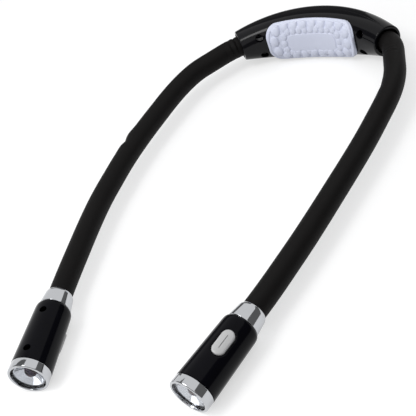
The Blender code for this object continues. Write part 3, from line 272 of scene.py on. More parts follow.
# Softboxes: azimuth and elevation in degrees, width, height, power and whether reflections show them
SOFTBOXES = {
    "key": (-36.0, 64.0, 0.34, 0.32, 2.6, True),
    "fill": (-38.0, 16.0, 0.7, 0.7, 3.6, False),
}

# Finishes. Waves are those to a metre: of the drift in colour and in roughness, and of the grain
PLASTIC_WAVES = (90.0, 260.0)
METAL_WAVES = (120.0, 400.0)
NOISE_DETAIL = 4.0
GRAIN_HEIGHT = 0.0001
SPECULAR = "Specular IOR Level"

# Name, dark and light colour, and lowest and highest roughness
PLASTICS = {
    "shell": ("housing_gloss", (0.0022, 0.0022, 0.0030), (0.0038, 0.0038, 0.0052), 0.08, 0.14),
    "gloss": ("casing_gloss", (0.0010, 0.0010, 0.0022), (0.0022, 0.0022, 0.0042), 0.10, 0.16),
    "sleeve": ("sleeve_foam", (0.0042, 0.0038, 0.0038), (0.0062, 0.0056, 0.0055), 0.50, 0.65),
    "pad": ("pad_silicone", (0.62, 0.65, 0.78), (0.68, 0.71, 0.84), 0.36, 0.48),
    "silver": ("button_paint", (0.50, 0.50, 0.50), (0.55, 0.55, 0.55), 0.26, 0.36),
    "lens": ("lens_glass", (0.97, 0.98, 1.0), (0.97, 0.98, 1.0), 0.0, 0.04),
    # The reflector's black rim is painted shade: it stands for the shadowed gap and dark reflections behind
    # the bezel's lip
    "seat": ("rim_black", (0.004, 0.004, 0.005), (0.010, 0.010, 0.012), 0.10, 0.20),
    # The dome's drift from dark blue to brown is a painted reflection of the light source's lens
    "dome": ("dome_clouded", (0.002, 0.005, 0.030), (0.040, 0.016, 0.006), 0.03, 0.10),
    "led": ("led_phosphor", (0.75, 0.50, 0.10), (0.85, 0.62, 0.18), 0.25, 0.35),
    "cell": ("cell_wrap_finish", (0.06, 0.07, 0.09), (0.09, 0.10, 0.13), 0.30, 0.42),
    "wire": ("wire_insulation", (0.30, 0.015, 0.015), (0.38, 0.03, 0.025), 0.42, 0.55),
    "board": ("board_finish", (0.68, 0.70, 0.68), (0.76, 0.78, 0.76), 0.40, 0.52),
}

# Details of some plastics. A base colour or roughness among the values only stands in for the drift
PLASTIC_DETAILS = {
    "shell": {"values": {SPECULAR: 0.19}},
    "gloss": {"values": {SPECULAR: 0.08}},
    "sleeve": {"waves": (60.0, 500.0), "grain": (5000.0, 0.25),
               "values": {SPECULAR: 0.10, "Base Color": (0.012, 0.011, 0.011, 1.0), "Roughness": 0.6}},
    "pad": {"waves": (50.0, 700.0), "grain": (4000.0, 0.10),
            "values": {"Base Color": (0.66, 0.69, 0.82, 1.0), "Roughness": 0.4}},
    "lens": {"waves": (0.0, 600.0), "values": {"Transmission Weight": 1.0, "IOR": 1.15, "Roughness": 0.02}},
    # The dome's specular is kept low, so its painted reflection shows instead of real ones
    "dome": {"waves": (420.0, 900.0), "detail": 1.0,
             "values": {SPECULAR: 0.02, "Base Color": (0.02, 0.02, 0.03, 1.0), "Roughness": 0.05}},
    "wire": {"values": {SPECULAR: 0.40}},
}

# Metals, in the same order as the plastics, and the finish of each slot whose solids still show
METALS = {
    "chrome": ("ring_chrome", (0.49, 0.50, 0.52), (0.53, 0.54, 0.56), 0.04, 0.08),
    "mirror": ("bowl_mirror", (0.42, 0.43, 0.45), (0.50, 0.51, 0.53), 0.02, 0.06),
    "steel": ("screw_dark_steel", (0.030, 0.030, 0.032), (0.055, 0.055, 0.058), 0.34, 0.46),
    "aluminium": ("core_aluminium", (0.55, 0.55, 0.57), (0.63, 0.63, 0.65), 0.28, 0.42),
    "nickel": ("contact_nickel_finish", (0.64, 0.60, 0.50), (0.72, 0.68, 0.57), 0.22, 0.34),
}
SLOT_FINISHES = {
    "screw_steel": "steel", "core_aluminium": "aluminium", "contact_nickel": "nickel",
    "cell_wrap": "cell", "wire_red": "wire", "board_white": "board",
}

# Places worked out from the sizes above
HOUSING_RADIUS = MOUTH_HALF_SPAN / sin(HOUSING_HALF_TURN)
SLEEVE_END = SLEEVE_SEAT - FIT_GAP
TAIL_START = SLEEVE_SEAT + COLLAR_WEB + FIT_GAP
SHOULDER_START = COLLAR_LENGTH + FIT_GAP
CASING_FRONT = LAMP_LENGTH - BEZEL_LENGTH - FIT_GAP
SKIRT_START = LAMP_LENGTH - BEZEL_LENGTH - BEZEL_SKIRT
LENS_FRONT = LAMP_LENGTH - BEZEL_LIP - FIT_GAP
LENS_BACK = LENS_FRONT - LENS_THICKNESS
LENS_RADIUS = LENS_BORE_RADIUS - FIT_GAP
REFLECTOR_FRONT = LENS_BACK - FIT_GAP
LAMP_SCREW_STATIONS = (
    LAMP_LENGTH * LAMP_SCREW_PLACE_SHARE,
    SKIRT_START - FIT_GAP - LED_BOARD_THICKNESS - FIT_GAP - LAMP_BOSS_RADIUS - LAMP_SCREW_CLEAR,
)
BUTTON_STATION = LAMP_LENGTH * BUTTON_PLACE_SHARE
BUTTON_LENGTH = LAMP_LENGTH * BUTTON_LENGTH_SHARE


# Meshes

def add_mesh(name, points, faces, material=None, sharp_angle=SHARP_ANGLE):
    """A smooth piece, whose edges stay sharp where faces meet at more than an angle."""
    mesh = bpy.data.meshes.new(name)
    mesh.from_pydata([tuple(point) for point in points], [], faces)
    if material is not None:
        mesh.materials.append(material)
    shade(mesh, sharp_angle, True)
    piece = bpy.data.objects.new(name, mesh)
    bpy.context.scene.collection.objects.link(piece)
    return piece


def shade(mesh, sharp_angle=SHARP_ANGLE, turn_out=False):
    """Smooth faces and sharp edges, with the faces turned outward first where asked."""
    shape = bmesh.new()
    shape.from_mesh(mesh)
    if turn_out:
        bmesh.ops.recalc_face_normals(shape, faces=shape.faces)
    for face in shape.faces:
        face.smooth = True
    for edge in shape.edges:
        edge.smooth = len(edge.link_faces) == 2 and edge.calc_face_angle(0.0) < sharp_angle
    shape.to_mesh(mesh)
    shape.free()
    mesh.update()


def cut(piece, operation, solids):
    """Cuts the piece with closed solids, or keeps what is inside them."""
    for number, (points, faces) in enumerate(solids):
        tool = add_mesh(f"{piece.name}_tool_{number}", points, faces)
        modifier = piece.modifiers.new("cut", "BOOLEAN")
        modifier.operation = operation
        modifier.solver = "EXACT"
        modifier.object = tool
        graph = bpy.context.evaluated_depsgraph_get()
        result = bpy.data.meshes.new_from_object(piece.evaluated_get(graph))
        piece.modifiers.clear()
        piece.data = result
        bpy.data.objects.remove(tool, do_unlink=True)
    shade(piece.data)


def ring_faces(ring_count, segments, closed):
    """Faces between rings, closed end to start or capped."""
    faces = []
    for ring in range(ring_count if closed else ring_count - 1):
        start, following = ring * segments, (ring + 1) % ring_count * segments
        for step in range(segments):
            after = (step + 1) % segments
            faces.append((start + step, start + after, following + after, following + step))
    if not closed:
        faces += [tuple(range(start, start + segments)) for start in (0, (ring_count - 1) * segments)]
    return faces


def spun(profile, place, segments, closed=False):
    """A solid turned about a frame's Z axis, from (station, radius) points."""
    points = []
    for station, radius in profile:
        for step in range(segments):
            angle = 2 * pi * step / segments
            points.append(place @ Vector((radius * cos(angle), radius * sin(angle), station)))
    return points, ring_faces(len(profile), segments, closed)


def bore(start, end, radius, place):
    """A cylinder along a frame's Z axis."""
    return spun([(start, radius), (end, radius)], place, HOLE_SEGMENTS)


def walled(outer_rows, inner_rows):
    """The closed wall between two matching grids of points."""
    rows, columns = len(outer_rows), len(outer_rows[0])
    points = [point for grid in (outer_rows, inner_rows) for row in grid for point in row]
    shift = rows * columns
    faces = []
    for corner in [row * columns + column for row in range(rows - 1) for column in range(columns - 1)]:
        quad = (corner, corner + 1, corner + columns + 1, corner + columns)
        faces += [quad, tuple(index + shift for index in reversed(quad))]
    rims = [(row * columns + column, 1) for row in (0, rows - 1) for column in range(columns - 1)]
    rims += [(row * columns + column, columns) for column in (0, columns - 1) for row in range(rows - 1)]
    for corner, step in rims:
        faces.append((corner, corner + step, corner + step + shift, corner + shift))
    return points, faces


def frame_at(place, x_axis, y_axis, z_axis):
    """The frame at a place with these axes."""
    turned = Matrix((x_axis, y_axis, z_axis)).transposed().to_4x4()
    turned.translation = place
    return turned


def axis_frame(point, direction):
    """A frame at a point, with its Z axis along a direction."""
    turned = Vector(direction).to_track_quat("Z", "Y").to_matrix().to_4x4()
    turned.translation = point
    return turned


def smooth_values(shares, values, share):
    """A smooth curve through values at shares, which doesn't swing past them."""
    steps = np.diff(shares)
    slopes = np.diff(values) / steps
    tangents = np.zeros(len(values))
    tangents[0], tangents[-1] = slopes[0], slopes[-1]
    for place in range(1, len(values) - 1):
        before, after = slopes[place - 1], slopes[place]
        if before * after > 0:
            first = 2 * steps[place] + steps[place - 1]
            second = steps[place] + 2 * steps[place - 1]
            tangents[place] = (first + second) / (first / before + second / after)
    index = np.clip(np.searchsorted(shares, share, side="right") - 1, 0, len(steps) - 1)
    width = steps[index]
    part = (share - np.asarray(shares)[index]) / width
    low, high = np.asarray(values)[index], np.asarray(values)[index + 1]
    rise = part * part * (3 - 2 * part)
    start_pull = part * (1 - part) ** 2 * width * tangents[index]
    end_pull = -part * part * (1 - part) * width * tangents[index + 1]
    return low + (high - low) * rise + start_pull + end_pull


def ramp(value, low, high):
    """0 below low, 1 above high, and smooth between them."""
    share = np.clip((value - low) / (high - low), 0.0, 1.0)
    return share * share * (3 - 2 * share)


def rounded_outline(half_width, half_length, corner, steps):
    """A rounded rectangle about zero, corner by corner."""
    points = []
    for quarter, (sign_x, sign_y) in enumerate(((1, 1), (-1, 1), (-1, -1), (1, -1))):
        for step in range(steps + 1):
            angle = pi / 2 * (quarter + step / steps)
            points.append((sign_x * (half_width - corner) + corner * cos(angle),
                           sign_y * (half_length - corner) + corner * sin(angle)))
    return points


def inside_distance(x, y, half_length, half_height, corner):
    """How far a point is inside a rounded rectangle about zero."""
    over_x = np.abs(x) - (half_length - corner)
    over_y = np.abs(y) - (half_height - corner)
    outside = np.hypot(np.maximum(over_x, 0.0), np.maximum(over_y, 0.0))
    return corner - outside - np.minimum(np.maximum(over_x, over_y), 0.0)


# Housing shape

def fullness(turn):
    """1 in the housing's middle, 0 at its mouths."""
    return 1 - (turn / HOUSING_HALF_TURN) ** 2


def blend(mouth_value, middle_value, turn):
    """A size that changes from the mouths to the middle."""
    return mouth_value + (middle_value - mouth_value) * fullness(turn)


def section_size(turn, facing, inset):
    """Half depth, half height and squareness of half a section, facing out (1) or in (-1)."""
    middle_depth = OUTER_HALF_DEPTH if facing > 0 else INNER_HALF_DEPTH
    middle_squareness = OUTER_SQUARENESS if facing > 0 else INNER_SQUARENESS
    return (blend(MOUTH_RADIUS, middle_depth, turn) - inset,
            blend(MOUTH_RADIUS, HOUSING_HALF_HEIGHT, turn) - inset,
            blend(ROUND_SQUARENESS, middle_squareness, turn))


def section_point(turn, facing, inset, angle):
    """A point of half a section, as outward and upward places from its centre."""
    depth, height, squareness = section_size(turn, facing, inset)
    cosine, sine = np.cos(angle), np.sin(angle)
    reach = (np.abs(cosine / depth) ** squareness + np.abs(sine / height) ** squareness) ** (-1 / squareness)
    seam = SEAM_GAP / 2
    return facing * (seam + reach * cosine * (1 - seam / depth)), reach * sine


def lowest_rise():
    """How far the middle section reaches below the mouths' centres."""
    angles = np.linspace(-pi / 2, pi / 2, FINE_STEPS)
    halves = [section_point(0.0, facing, 0.0, angles) for facing in (1, -1)]
    return min(float((up * cos(MIDDLE_TILT) - out * sin(MIDDLE_TILT)).min()) - MIDDLE_DROP
               for out, up in halves)


MOUTH_HEIGHT = -lowest_rise() - REST_FLAT_DEPTH


def housing_place(turn, outward, upward):
    """The world place at outward and upward in the tilted section at a turn."""
    tilt = blend(0.0, MIDDLE_TILT, turn)
    reach = HOUSING_RADIUS + outward * np.cos(tilt) + upward * np.sin(tilt)
    height = MOUTH_HEIGHT - blend(0.0, MIDDLE_DROP, turn)
    height = height + upward * np.cos(tilt) - outward * np.sin(tilt)
    places = reach * np.sin(turn), reach * np.cos(turn) - HOUSING_RADIUS, height
    return np.stack(np.broadcast_arrays(*places), -1)


def housing_point(turn, outward, upward):
    return Vector(housing_place(turn, outward, upward).tolist())


def outer_depth(upward):
    """How far the outer skin is from the seam in the housing's middle, at a rise."""
    depth, height, squareness = section_size(0.0, 1, 0.0)
    share = np.minimum(np.abs(upward) / height, 1.0)
    return depth * (1 - share ** squareness) ** (1 / squareness)


def wall_thickness(inside):
    """The wall at a distance inside a mouth: a thin rim, then the bore that holds the sleeve."""
    rim = MOUTH_RADIUS - MOUTH_BORE_RADIUS
    hold = MOUTH_RADIUS - SLEEVE_RADIUS - FIT_GAP
    entry = ramp(inside, MOUTH_RIM_DEPTH, MOUTH_BORE_DEPTH)
    release = ramp(inside, MOUTH_BORE_END, MOUTH_BORE_END + MOUTH_RIM_DEPTH)
    return rim + (hold - rim) * entry + (HOUSING_WALL - hold) * release


def mouth_rows():
    """Turn, inset of the skin and wall of each row, from mouth to mouth."""
    edge_turn = MOUTH_EDGE / HOUSING_RADIUS
    ends = [(HOUSING_HALF_TURN - edge_turn * (1 - sin(angle)), MOUTH_EDGE * (1 - cos(angle)))
            for angle in QUARTER[:0:-1]]
    body_turn = HOUSING_HALF_TURN - edge_turn
    spacing = np.linspace(-1.0, 1.0, SKIN_ROWS)
    body = [(turn, 0.0) for turn in (body_turn * np.sin(spacing * pi / 2)).tolist()]
    rows = [(-turn, inset) for turn, inset in ends] + body + list(reversed(ends))
    return [(turn, inset, float(wall_thickness((HOUSING_HALF_TURN - abs(turn)) * HOUSING_RADIUS)))
            for turn, inset in rows]


def seam_angles():
    """Angles round half a section, closer by the seam, with the skin's inset there."""
    angles = np.linspace(-pi / 2, pi / 2, SKIN_STEPS)
    near = SEAM_EDGE / MOUTH_RADIUS
    edges = near * np.linspace(0.0, 1.0, SEAM_STEPS + 1)[1:]
    angles = np.unique(np.concatenate([angles, edges - pi / 2, pi / 2 - edges]))
    distance = np.minimum(angles + pi / 2, pi / 2 - angles) / near
    inset = SEAM_EDGE * (1 - np.sqrt(1 - (1 - np.minimum(distance, 1.0)) ** 2)) / 2
    return angles, inset


def housing_half(facing):
    """The wall of one half of the housing, with rounded edges along the seam."""
    angles, seam_inset = seam_angles()
    grids = ([], [])
    for turn, inset, wall in mouth_rows():
        for rows, depth in zip(grids, (inset + seam_inset, wall)):
            rows.append(housing_place(turn, *section_point(turn, facing, depth, angles)).tolist())
    return walled(*grids)


def floor_block():
    """Everything below the plane that the light rests on."""
    reach = HOUSING_RADIUS + OUTER_HALF_DEPTH
    points = [(x, y, z) for x in (-reach, reach) for y in (-reach, reach) for z in (-MOUTH_HEIGHT, 0.0)]
    faces = [(0, 1, 3, 2), (4, 6, 7, 5), (0, 4, 5, 1), (2, 3, 7, 6), (0, 2, 6, 4), (1, 5, 7, 3)]
    return points, faces


def housing_holes():
    """The bores over the housing's screws, from their seats out."""
    solids = []
    reach = INNER_HALF_DEPTH + CUT_OVERRUN
    for side, level in ((-1, -1), (-1, 1), (1, -1), (1, 1)):
        turn, rise = side * HOUSING_SCREW_TURN, level * HOUSING_SCREW_RISE
        start = housing_point(turn, 0.0, rise)
        hole = axis_frame(start, housing_point(turn, HOUSING_WALL, rise) - start)
        solids.append(bore(-reach, -HOUSING_SCREW_SEAT, HOUSING_HOLE_RADIUS, hole))
    return solids


def door_prism(half_length, half_height, corner):
    """A rounded block, for the battery door or its opening."""
    outline = rounded_outline(half_length, half_height, corner, ROUND_STEPS)
    points = []
    for outward in (OUTER_HALF_DEPTH / 2 - HOUSING_WALL, OUTER_HALF_DEPTH + CUT_OVERRUN):
        for x, upward in outline:
            place = housing_point(0.0, outward, upward)
            place.x = x
            points.append(place)
    return points, ring_faces(2, len(outline), False)


def door_grips():
    """Grooves across the door that a thumb pulls on."""
    angles = [pi * step / (2 * ROUND_STEPS) for step in range(2 * ROUND_STEPS + 1)]
    profile = [(-DOOR_GRIP_HALF_LENGTH * cos(angle), DOOR_GRIP_RADIUS * max(sin(angle), SHARP_END_SHARE))
               for angle in angles]
    solids = []
    for number in range(DOOR_GRIP_COUNT):
        upward = DOOR_GRIP_RISE - number * DOOR_GRIP_PITCH
        centre = housing_point(0.0, float(outer_depth(upward)), upward)
        solids.append(spun(profile, axis_frame(centre, Vector((1.0, 0.0, 0.0))), HOLE_SEGMENTS))
    return solids


def add_piece(name, shape, look, body, nodes, cuts=(), sharp_angle=SHARP_ANGLE):
    """A piece with its cuts, finish and body, which hides the solids it stands for."""
    piece = add_mesh(name, *shape, MATERIALS[look], sharp_angle)
    for operation, tools in cuts:
        cut(piece, operation, tools)
    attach(piece, body)
    if nodes:
        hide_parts(*nodes)
    return piece


def make_housing():
    opening = door_prism(DOOR_HALF_LENGTH + FIT_GAP, DOOR_HALF_HEIGHT + FIT_GAP, DOOR_CORNER + FIT_GAP)
    panel = door_prism(DOOR_HALF_LENGTH, DOOR_HALF_HEIGHT, DOOR_CORNER)
    pieces = (
        ("outer_skin", 1, "housing", "outer_shell", [("DIFFERENCE", [opening, floor_block()])]),
        ("inner_skin", -1, "housing", "inner_shell", [("DIFFERENCE", housing_holes() + [floor_block()])]),
        ("door_panel", 1, "door", "battery_door", [("INTERSECT", [panel]), ("DIFFERENCE", door_grips())]),
    )
    for name, facing, body, node, cuts in pieces:
        add_piece(name, housing_half(facing), "shell", body, [node], cuts)


# Neck pad

def pad_share(turn):
    """The pad's height at a turn, as a share of the middle's."""
    full = fullness(turn)
    edge = fullness(PAD_HALF_TURN)
    return PAD_END_SHARE + (1 - PAD_END_SHARE) * (full - edge) / (1 - edge)


def pad_skin(turn, upward, lift):
    """Places over the inner half's skin, lifted off it."""
    depth, height, squareness = section_size(turn, -1, 0.0)
    share = np.minimum(np.abs(upward) / height, 1.0)
    room = np.maximum(1 - share ** squareness, PAD_STEEPNESS_SHARE)
    out = depth * room ** (1 / squareness)
    slope = depth / height * share ** (squareness - 1) * room ** (1 / squareness - 1)
    length = np.hypot(1.0, slope)
    rise = np.sign(upward) * slope / length
    return housing_place(turn, -out - lift / length, upward + lift * rise)


def arc_height(upward):
    """The length over the middle section's inner skin, up to a rise."""
    depth, height, squareness = section_size(0.0, -1, 0.0)
    rises = np.sin(np.linspace(0.0, pi / 2, FINE_STEPS)) * height
    depths = depth * np.maximum(1 - (rises / height) ** squareness, 0.0) ** (1 / squareness)
    lengths = np.append(0.0, np.cumsum(np.hypot(np.diff(rises), np.diff(depths))))
    return np.sign(upward) * np.interp(np.abs(upward), rises, lengths)


def bubble_track(count, half_length, half_height, corner, rise):
    """Centres of a ring of bubbles, evenly spaced along a rounded track."""
    outline = np.array(rounded_outline(half_length, half_height, corner, ROUND_STEPS))
    outline = np.append(outline, outline[:1], 0)
    lengths = np.append(0.0, np.cumsum(np.hypot(*np.diff(outline, axis=0).T)))
    places = lengths[-1] * (np.arange(count) + 0.5) / count
    return [(np.interp(place, lengths, outline[:, 0]), np.interp(place, lengths, outline[:, 1]) + rise)
            for place in places]


def pad_thickness(along, height, turn):
    """The pad's thickness: a rim, bubbles on a lower floor, and a panel in the middle."""
    half_length = PAD_HALF_TURN * HOUSING_RADIUS
    half_height = arc_height(PAD_HALF_HEIGHT * pad_share(turn))
    edge = np.maximum(inside_distance(along, height, half_length, half_height, PAD_CORNER), 0.0)
    rounding = np.minimum(edge / PAD_ROUND_WIDTH, 1.0)
    swell = (PAD_RIM_THICKNESS - PAD_EDGE_THICKNESS) * np.sqrt(1 - (1 - rounding) ** 2)
    drop = PAD_RIM_THICKNESS - PAD_FLOOR_THICKNESS
    floor = drop * ramp(edge, PAD_RIM_WIDTH, PAD_RIM_WIDTH + PAD_STEP_WIDTH)
    thickness = PAD_EDGE_THICKNESS + swell - floor
    dome = np.zeros_like(thickness)
    for radius, *track in BUBBLE_RINGS:
        for x, y in bubble_track(*track):
            share = np.clip(((along - x) ** 2 + (height - y) ** 2) / radius ** 2, 0.0, 1.0)
            dome = np.maximum(dome, BUBBLE_HEIGHT * radius / OUTER_BUBBLE_RADIUS * np.sqrt(1 - share))
    dome = dome * ramp(edge, PAD_RIM_WIDTH - PAD_STEP_WIDTH, PAD_RIM_WIDTH + PAD_STEP_WIDTH)
    panel = inside_distance(along, height - PANEL_RISE, PANEL_HALF_LENGTH, PANEL_HALF_HEIGHT, PANEL_CORNER)
    on_panel = ramp(panel, 0.0, PAD_STEP_WIDTH)
    return thickness + np.maximum(dome * (1 - on_panel), PANEL_HEIGHT * on_panel)


def make_pad():
    half_length = PAD_HALF_TURN * HOUSING_RADIUS
    levels = np.sin(np.linspace(-1.0, 1.0, PAD_ROWS) * pi / 2)
    highest = arc_height(PAD_HALF_HEIGHT)
    over = np.maximum(arc_height(np.abs(levels) * PAD_HALF_HEIGHT) - (highest - PAD_CORNER), 0.0)
    reach = half_length - PAD_CORNER + np.sqrt(np.maximum(PAD_CORNER ** 2 - over ** 2, 0.0))
    along = np.linspace(-1.0, 1.0, PAD_COLUMNS)[None, :] * reach[:, None]
    turn = along / HOUSING_RADIUS
    share = pad_share(turn)
    upward = levels[:, None] * PAD_HALF_HEIGHT * share
    thickness = pad_thickness(along, arc_height(upward), turn)
    front = pad_skin(turn, upward + PAD_RISE * share, FIT_GAP + thickness)
    back = pad_skin(turn, upward + PAD_RISE * share, np.full_like(thickness, FIT_GAP))
    pad = add_piece("soft_pad", walled(front.tolist(), back.tolist()), "pad", "housing",
                    ["neck_pad"], sharp_angle=PAD_SHARP_ANGLE)


# Arms

class Course:
    """The centre line of an arm, by length from its mouth, straight on both sides of each bend."""

    def __init__(self, name):
        self.side = ARM_SIDE[name]
        self.length = ARM_LENGTH[name]
        self.bends = [share * self.length for share in BEND_SHARES]
        self.slope = (BEZEL_RADIUS - MOUTH_HEIGHT) / (self.length + LAMP_LENGTH)
        self.headings = np.radians((degrees(pi / 2 - HOUSING_HALF_TURN),) + ARM_HEADINGS[name][1:])
        self.level = sqrt(1 - self.slope ** 2)
        self.lengths = np.linspace(0.0, self.length, COURSE_STEPS + 1)
        heading = self.heading((self.lengths[1:] + self.lengths[:-1]) / 2)
        step = self.length / COURSE_STEPS * self.level
        start = housing_point(self.side * HOUSING_HALF_TURN, 0.0, 0.0)
        self.x = start.x + np.append(0.0, np.cumsum(self.side * np.sin(heading) * step))
        self.y = start.y - np.append(0.0, np.cumsum(np.cos(heading) * step))
        self.z = start.z + self.slope * self.lengths

    def heading(self, length):
        """The heading at a length, held over the straight stretch at each bend."""
        edges = [bend + side * HINGE_STRAIGHT for bend in self.bends for side in (-1, 1)]
        held = [bend for bend in self.bends for side in (-1, 1)]
        share = np.interp(length, [0.0, *edges, self.length], [0.0, *held, self.length]) / self.length
        return smooth_values(HEADING_SHARES, self.headings, share)

    def point(self, length):
        if length < 0.0:
            return housing_point(self.side * (HOUSING_HALF_TURN + length / HOUSING_RADIUS), 0.0, 0.0)
        place = min(length, self.length)
        axes = (self.x, self.y, self.z)
        point = Vector([float(np.interp(place, self.lengths, values)) for values in axes])
        return point + (length - place) * self.tangent(place)

    def tangent(self, length):
        if length < 0.0:
            return (self.point(length + FIT_GAP) - self.point(length - FIT_GAP)).normalized()
        heading = float(self.heading(min(length, self.length)))
        return Vector((self.side * sin(heading) * self.level, -cos(heading) * self.level, self.slope))

    def frame(self, length):
        """A frame on the course: X level, Y up and Z along the arm."""
        ahead = self.tangent(length)
        across = Vector((0.0, 0.0, 1.0)).cross(ahead).normalized()
        return frame_at(self.point(length), across, ahead.cross(across), ahead)


def sleeve_radii(name, length, angles):
    """The sleeve's radius round its section at a length, with that arm's folds."""
    radii = SLEEVE_RADIUS * np.ones_like(angles)
    for place, width, height, turn, spread in SLEEVE_FOLDS[name]:
        along = exp(-((length - place) / width) ** 2)
        aside = (angles - radians(turn) + pi) % (2 * pi) - pi
        radii = radii + height * along * np.exp(-(aside / radians(spread)) ** 2)
    return radii


def sleeve_stretch(name, course, start, end):
    """A closed stretch of sleeve between two lengths."""
    count = max(2, ceil((end - start) / SLEEVE_STEP) + 1)
    angles = np.arange(SLEEVE_SEGMENTS) * 2 * pi / SLEEVE_SEGMENTS
    points = []
    for length in np.linspace(start, end, count).tolist():
        place = course.frame(length)
        radii = sleeve_radii(name, length, angles)
        for angle, radius in zip(angles.tolist(), radii.tolist()):
            points.append(place @ Vector((radius * cos(angle), radius * sin(angle), 0.0)))
    return points, ring_faces(count, SLEEVE_SEGMENTS, False)


def make_arm(name, course):
    """Four soft stretches, each of which runs over one bend of the course, and which meet between the joints.
    """
    middles = [(first + second) / 2 for first, second in zip(course.bends[:-1], course.bends[1:])]
    ends = [-SLEEVE_INSET] + middles + [course.length + SLEEVE_END]
    for number, bend in enumerate(course.bends):
        stretch = sleeve_stretch(name, course, ends[number], ends[number + 1])
        piece = add_mesh(f"{name}_cover_{number + 1}", *stretch, MATERIALS["sleeve"])
        tuple(course.point(bend - BEND_REACH))
        tuple(course.point(bend + BEND_REACH))
        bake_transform(piece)
        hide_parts(*(f"{name}_sleeve_{sleeve}" for sleeve in STRETCH_SLEEVES[number]))


# Lamps

def casing_radius(station):
    """The casing's outer radius along its taper."""
    start = SHOULDER_START + SHOULDER_FILLET
    return SHOULDER_RADIUS + (BEZEL_RADIUS - SHOULDER_RADIUS) * (station - start) / (CASING_FRONT - start)


def arc(station, radius, size, first, last):
    """Profile points round a quarter, from one angle to another."""
    angles = [first + (last - first) * step / ROUND_STEPS for step in range(ROUND_STEPS + 1)]
    return [(station + size * sin(angle), radius + size * cos(angle)) for angle in angles]


def add_turned(name, label, profile, lamp, look, node=None, closed=True, segments=LATHE_SEGMENTS):
    """A piece that is turned about the lamp's axis and rides on the lamp."""
    shape = spun(profile, lamp, segments, closed)
    add_piece(f"{name}_{label}", shape, look, f"{name}_lamp", [f"{name}_{node}"] if node else [])


def make_collar(name, lamp):
    counterbore = CASING_TAIL_RADIUS + FIT_GAP
    throat = SLEEVE_RADIUS + FIT_GAP
    web_end = SLEEVE_SEAT + COLLAR_WEB
    outside = []
    for step in range(2 * ROUND_STEPS + 1):
        share = step / (2 * ROUND_STEPS)
        radius = COLLAR_REAR_RADIUS - (COLLAR_REAR_RADIUS - COLLAR_RIM_RADIUS) * (1 - share) ** 2
        outside.append((COLLAR_SWELL * share, radius))
    front = arc(COLLAR_LENGTH - COLLAR_EDGE, COLLAR_RADIUS - COLLAR_EDGE, COLLAR_EDGE, 0.0, pi / 2)
    inside = [(COLLAR_LENGTH, counterbore), (web_end, counterbore), (web_end, COLLAR_WEB_RADIUS),
              (SLEEVE_SEAT, COLLAR_WEB_RADIUS), (SLEEVE_SEAT, throat), (0.0, throat)]
    add_turned(name, "collar_ring", outside + front + inside, lamp, "chrome", "collar")


def casing_rows():
    """Outer and inner (station, radius) of the casing, from its tail to its front."""
    rows = [(TAIL_START, CASING_TAIL_RADIUS, TAIL_START),
            (SHOULDER_START, CASING_TAIL_RADIUS, SHOULDER_START + CASING_WALL)]
    for angle in QUARTER:
        forward = 1 - cos(angle)
        rows.append((SHOULDER_START + SHOULDER_ROUND * forward,
                     SHOULDER_RADIUS - SHOULDER_DROP * (1 - sin(angle)),
                     SHOULDER_START + CASING_WALL + FIT_GAP * forward))
    start = SHOULDER_START + SHOULDER_ROUND
    for step in range(1, TAPER_ROWS + 1):
        station = start + (CASING_FRONT - start) * step / TAPER_ROWS
        rows.append((station, casing_radius(station), station))
    return [(station, radius, inner_station, radius - CASING_WALL) for station, radius, inner_station in rows]


def dish(x, y, station):
    """How deep the casing is dished round the button, at a point of its skin."""
    along = station - BUTTON_STATION
    across = -x * sin(BUTTON_TURN) + y * cos(BUTTON_TURN)
    outward = x * cos(BUTTON_TURN) + y * sin(BUTTON_TURN)
    half_width = BUTTON_WIDTH / 2 + DISH_WIDTH
    half_length = BUTTON_LENGTH / 2 + DISH_WIDTH
    inside = inside_distance(across, along, half_width, half_length, half_width)
    return np.where(outward > 0, DISH_DEPTH * ramp(inside, 0.0, DISH_WIDTH), 0.0)


def casing_half(facing, lamp):
    """Half of the casing, on the screws' side (1) or the button's side (-1)."""
    seam = SEAM_GAP / 2
    shares = np.linspace(-1.0, 1.0, HALF_CASING_STEPS + 1)
    grids = ([], [])
    for station, radius, inner_station, inner_radius in casing_rows():
        for grid, place, size in zip(grids, (station, inner_station), (radius, inner_radius)):
            angles = shares * acos(seam / size)
            x = facing * size * np.cos(angles)
            y = size * np.sin(angles)
            if grid is grids[0] and facing < 0:
                shrink = 1 - dish(x, y, place) / size
                x, y = x * shrink, y * shrink
            grid.append([lamp @ Vector((*point, place)) for point in zip(x.tolist(), y.tolist())])
    return walled(*grids)


def lamp_holes(lamp):
    """The bores over the casing's screws, from their seats out."""
    solids = []
    for station in LAMP_SCREW_STATIONS:
        place = lamp @ axis_frame(Vector((0.0, 0.0, station)), Vector((1.0, 0.0, 0.0)))
        solids.append(bore(LAMP_SCREW_SEAT, BEZEL_RADIUS + CUT_OVERRUN, LAMP_HOLE_RADIUS, place))
    return solids


def button_frame(lamp):
    """The button's frame: X across it, Y along the lamp and Z outward."""
    outward = Vector((cos(BUTTON_TURN), sin(BUTTON_TURN), 0.0))
    along = Vector((0.0, 0.0, 1.0))
    return lamp @ frame_at(Vector((0.0, 0.0, BUTTON_STATION)), along.cross(outward), along, outward)


def prism(loops, place):
    """A solid through loops of points in a frame, capped at both ends."""
    points = [place @ Vector(point) for loop in loops for point in loop]
    return points, ring_faces(len(loops), len(loops[0]), False)


def button_outline(grow):
    """The button's oval, grown all round."""
    half_width = BUTTON_WIDTH / 2 + grow
    half_length = BUTTON_LENGTH / 2 + grow
    return rounded_outline(half_width, half_length, half_width, BUTTON_CORNER_STEPS)


def flat_loops(outline, *heights):
    """An outline at each of some heights."""
    return [[(x, y, height) for x, y in outline] for height in heights]


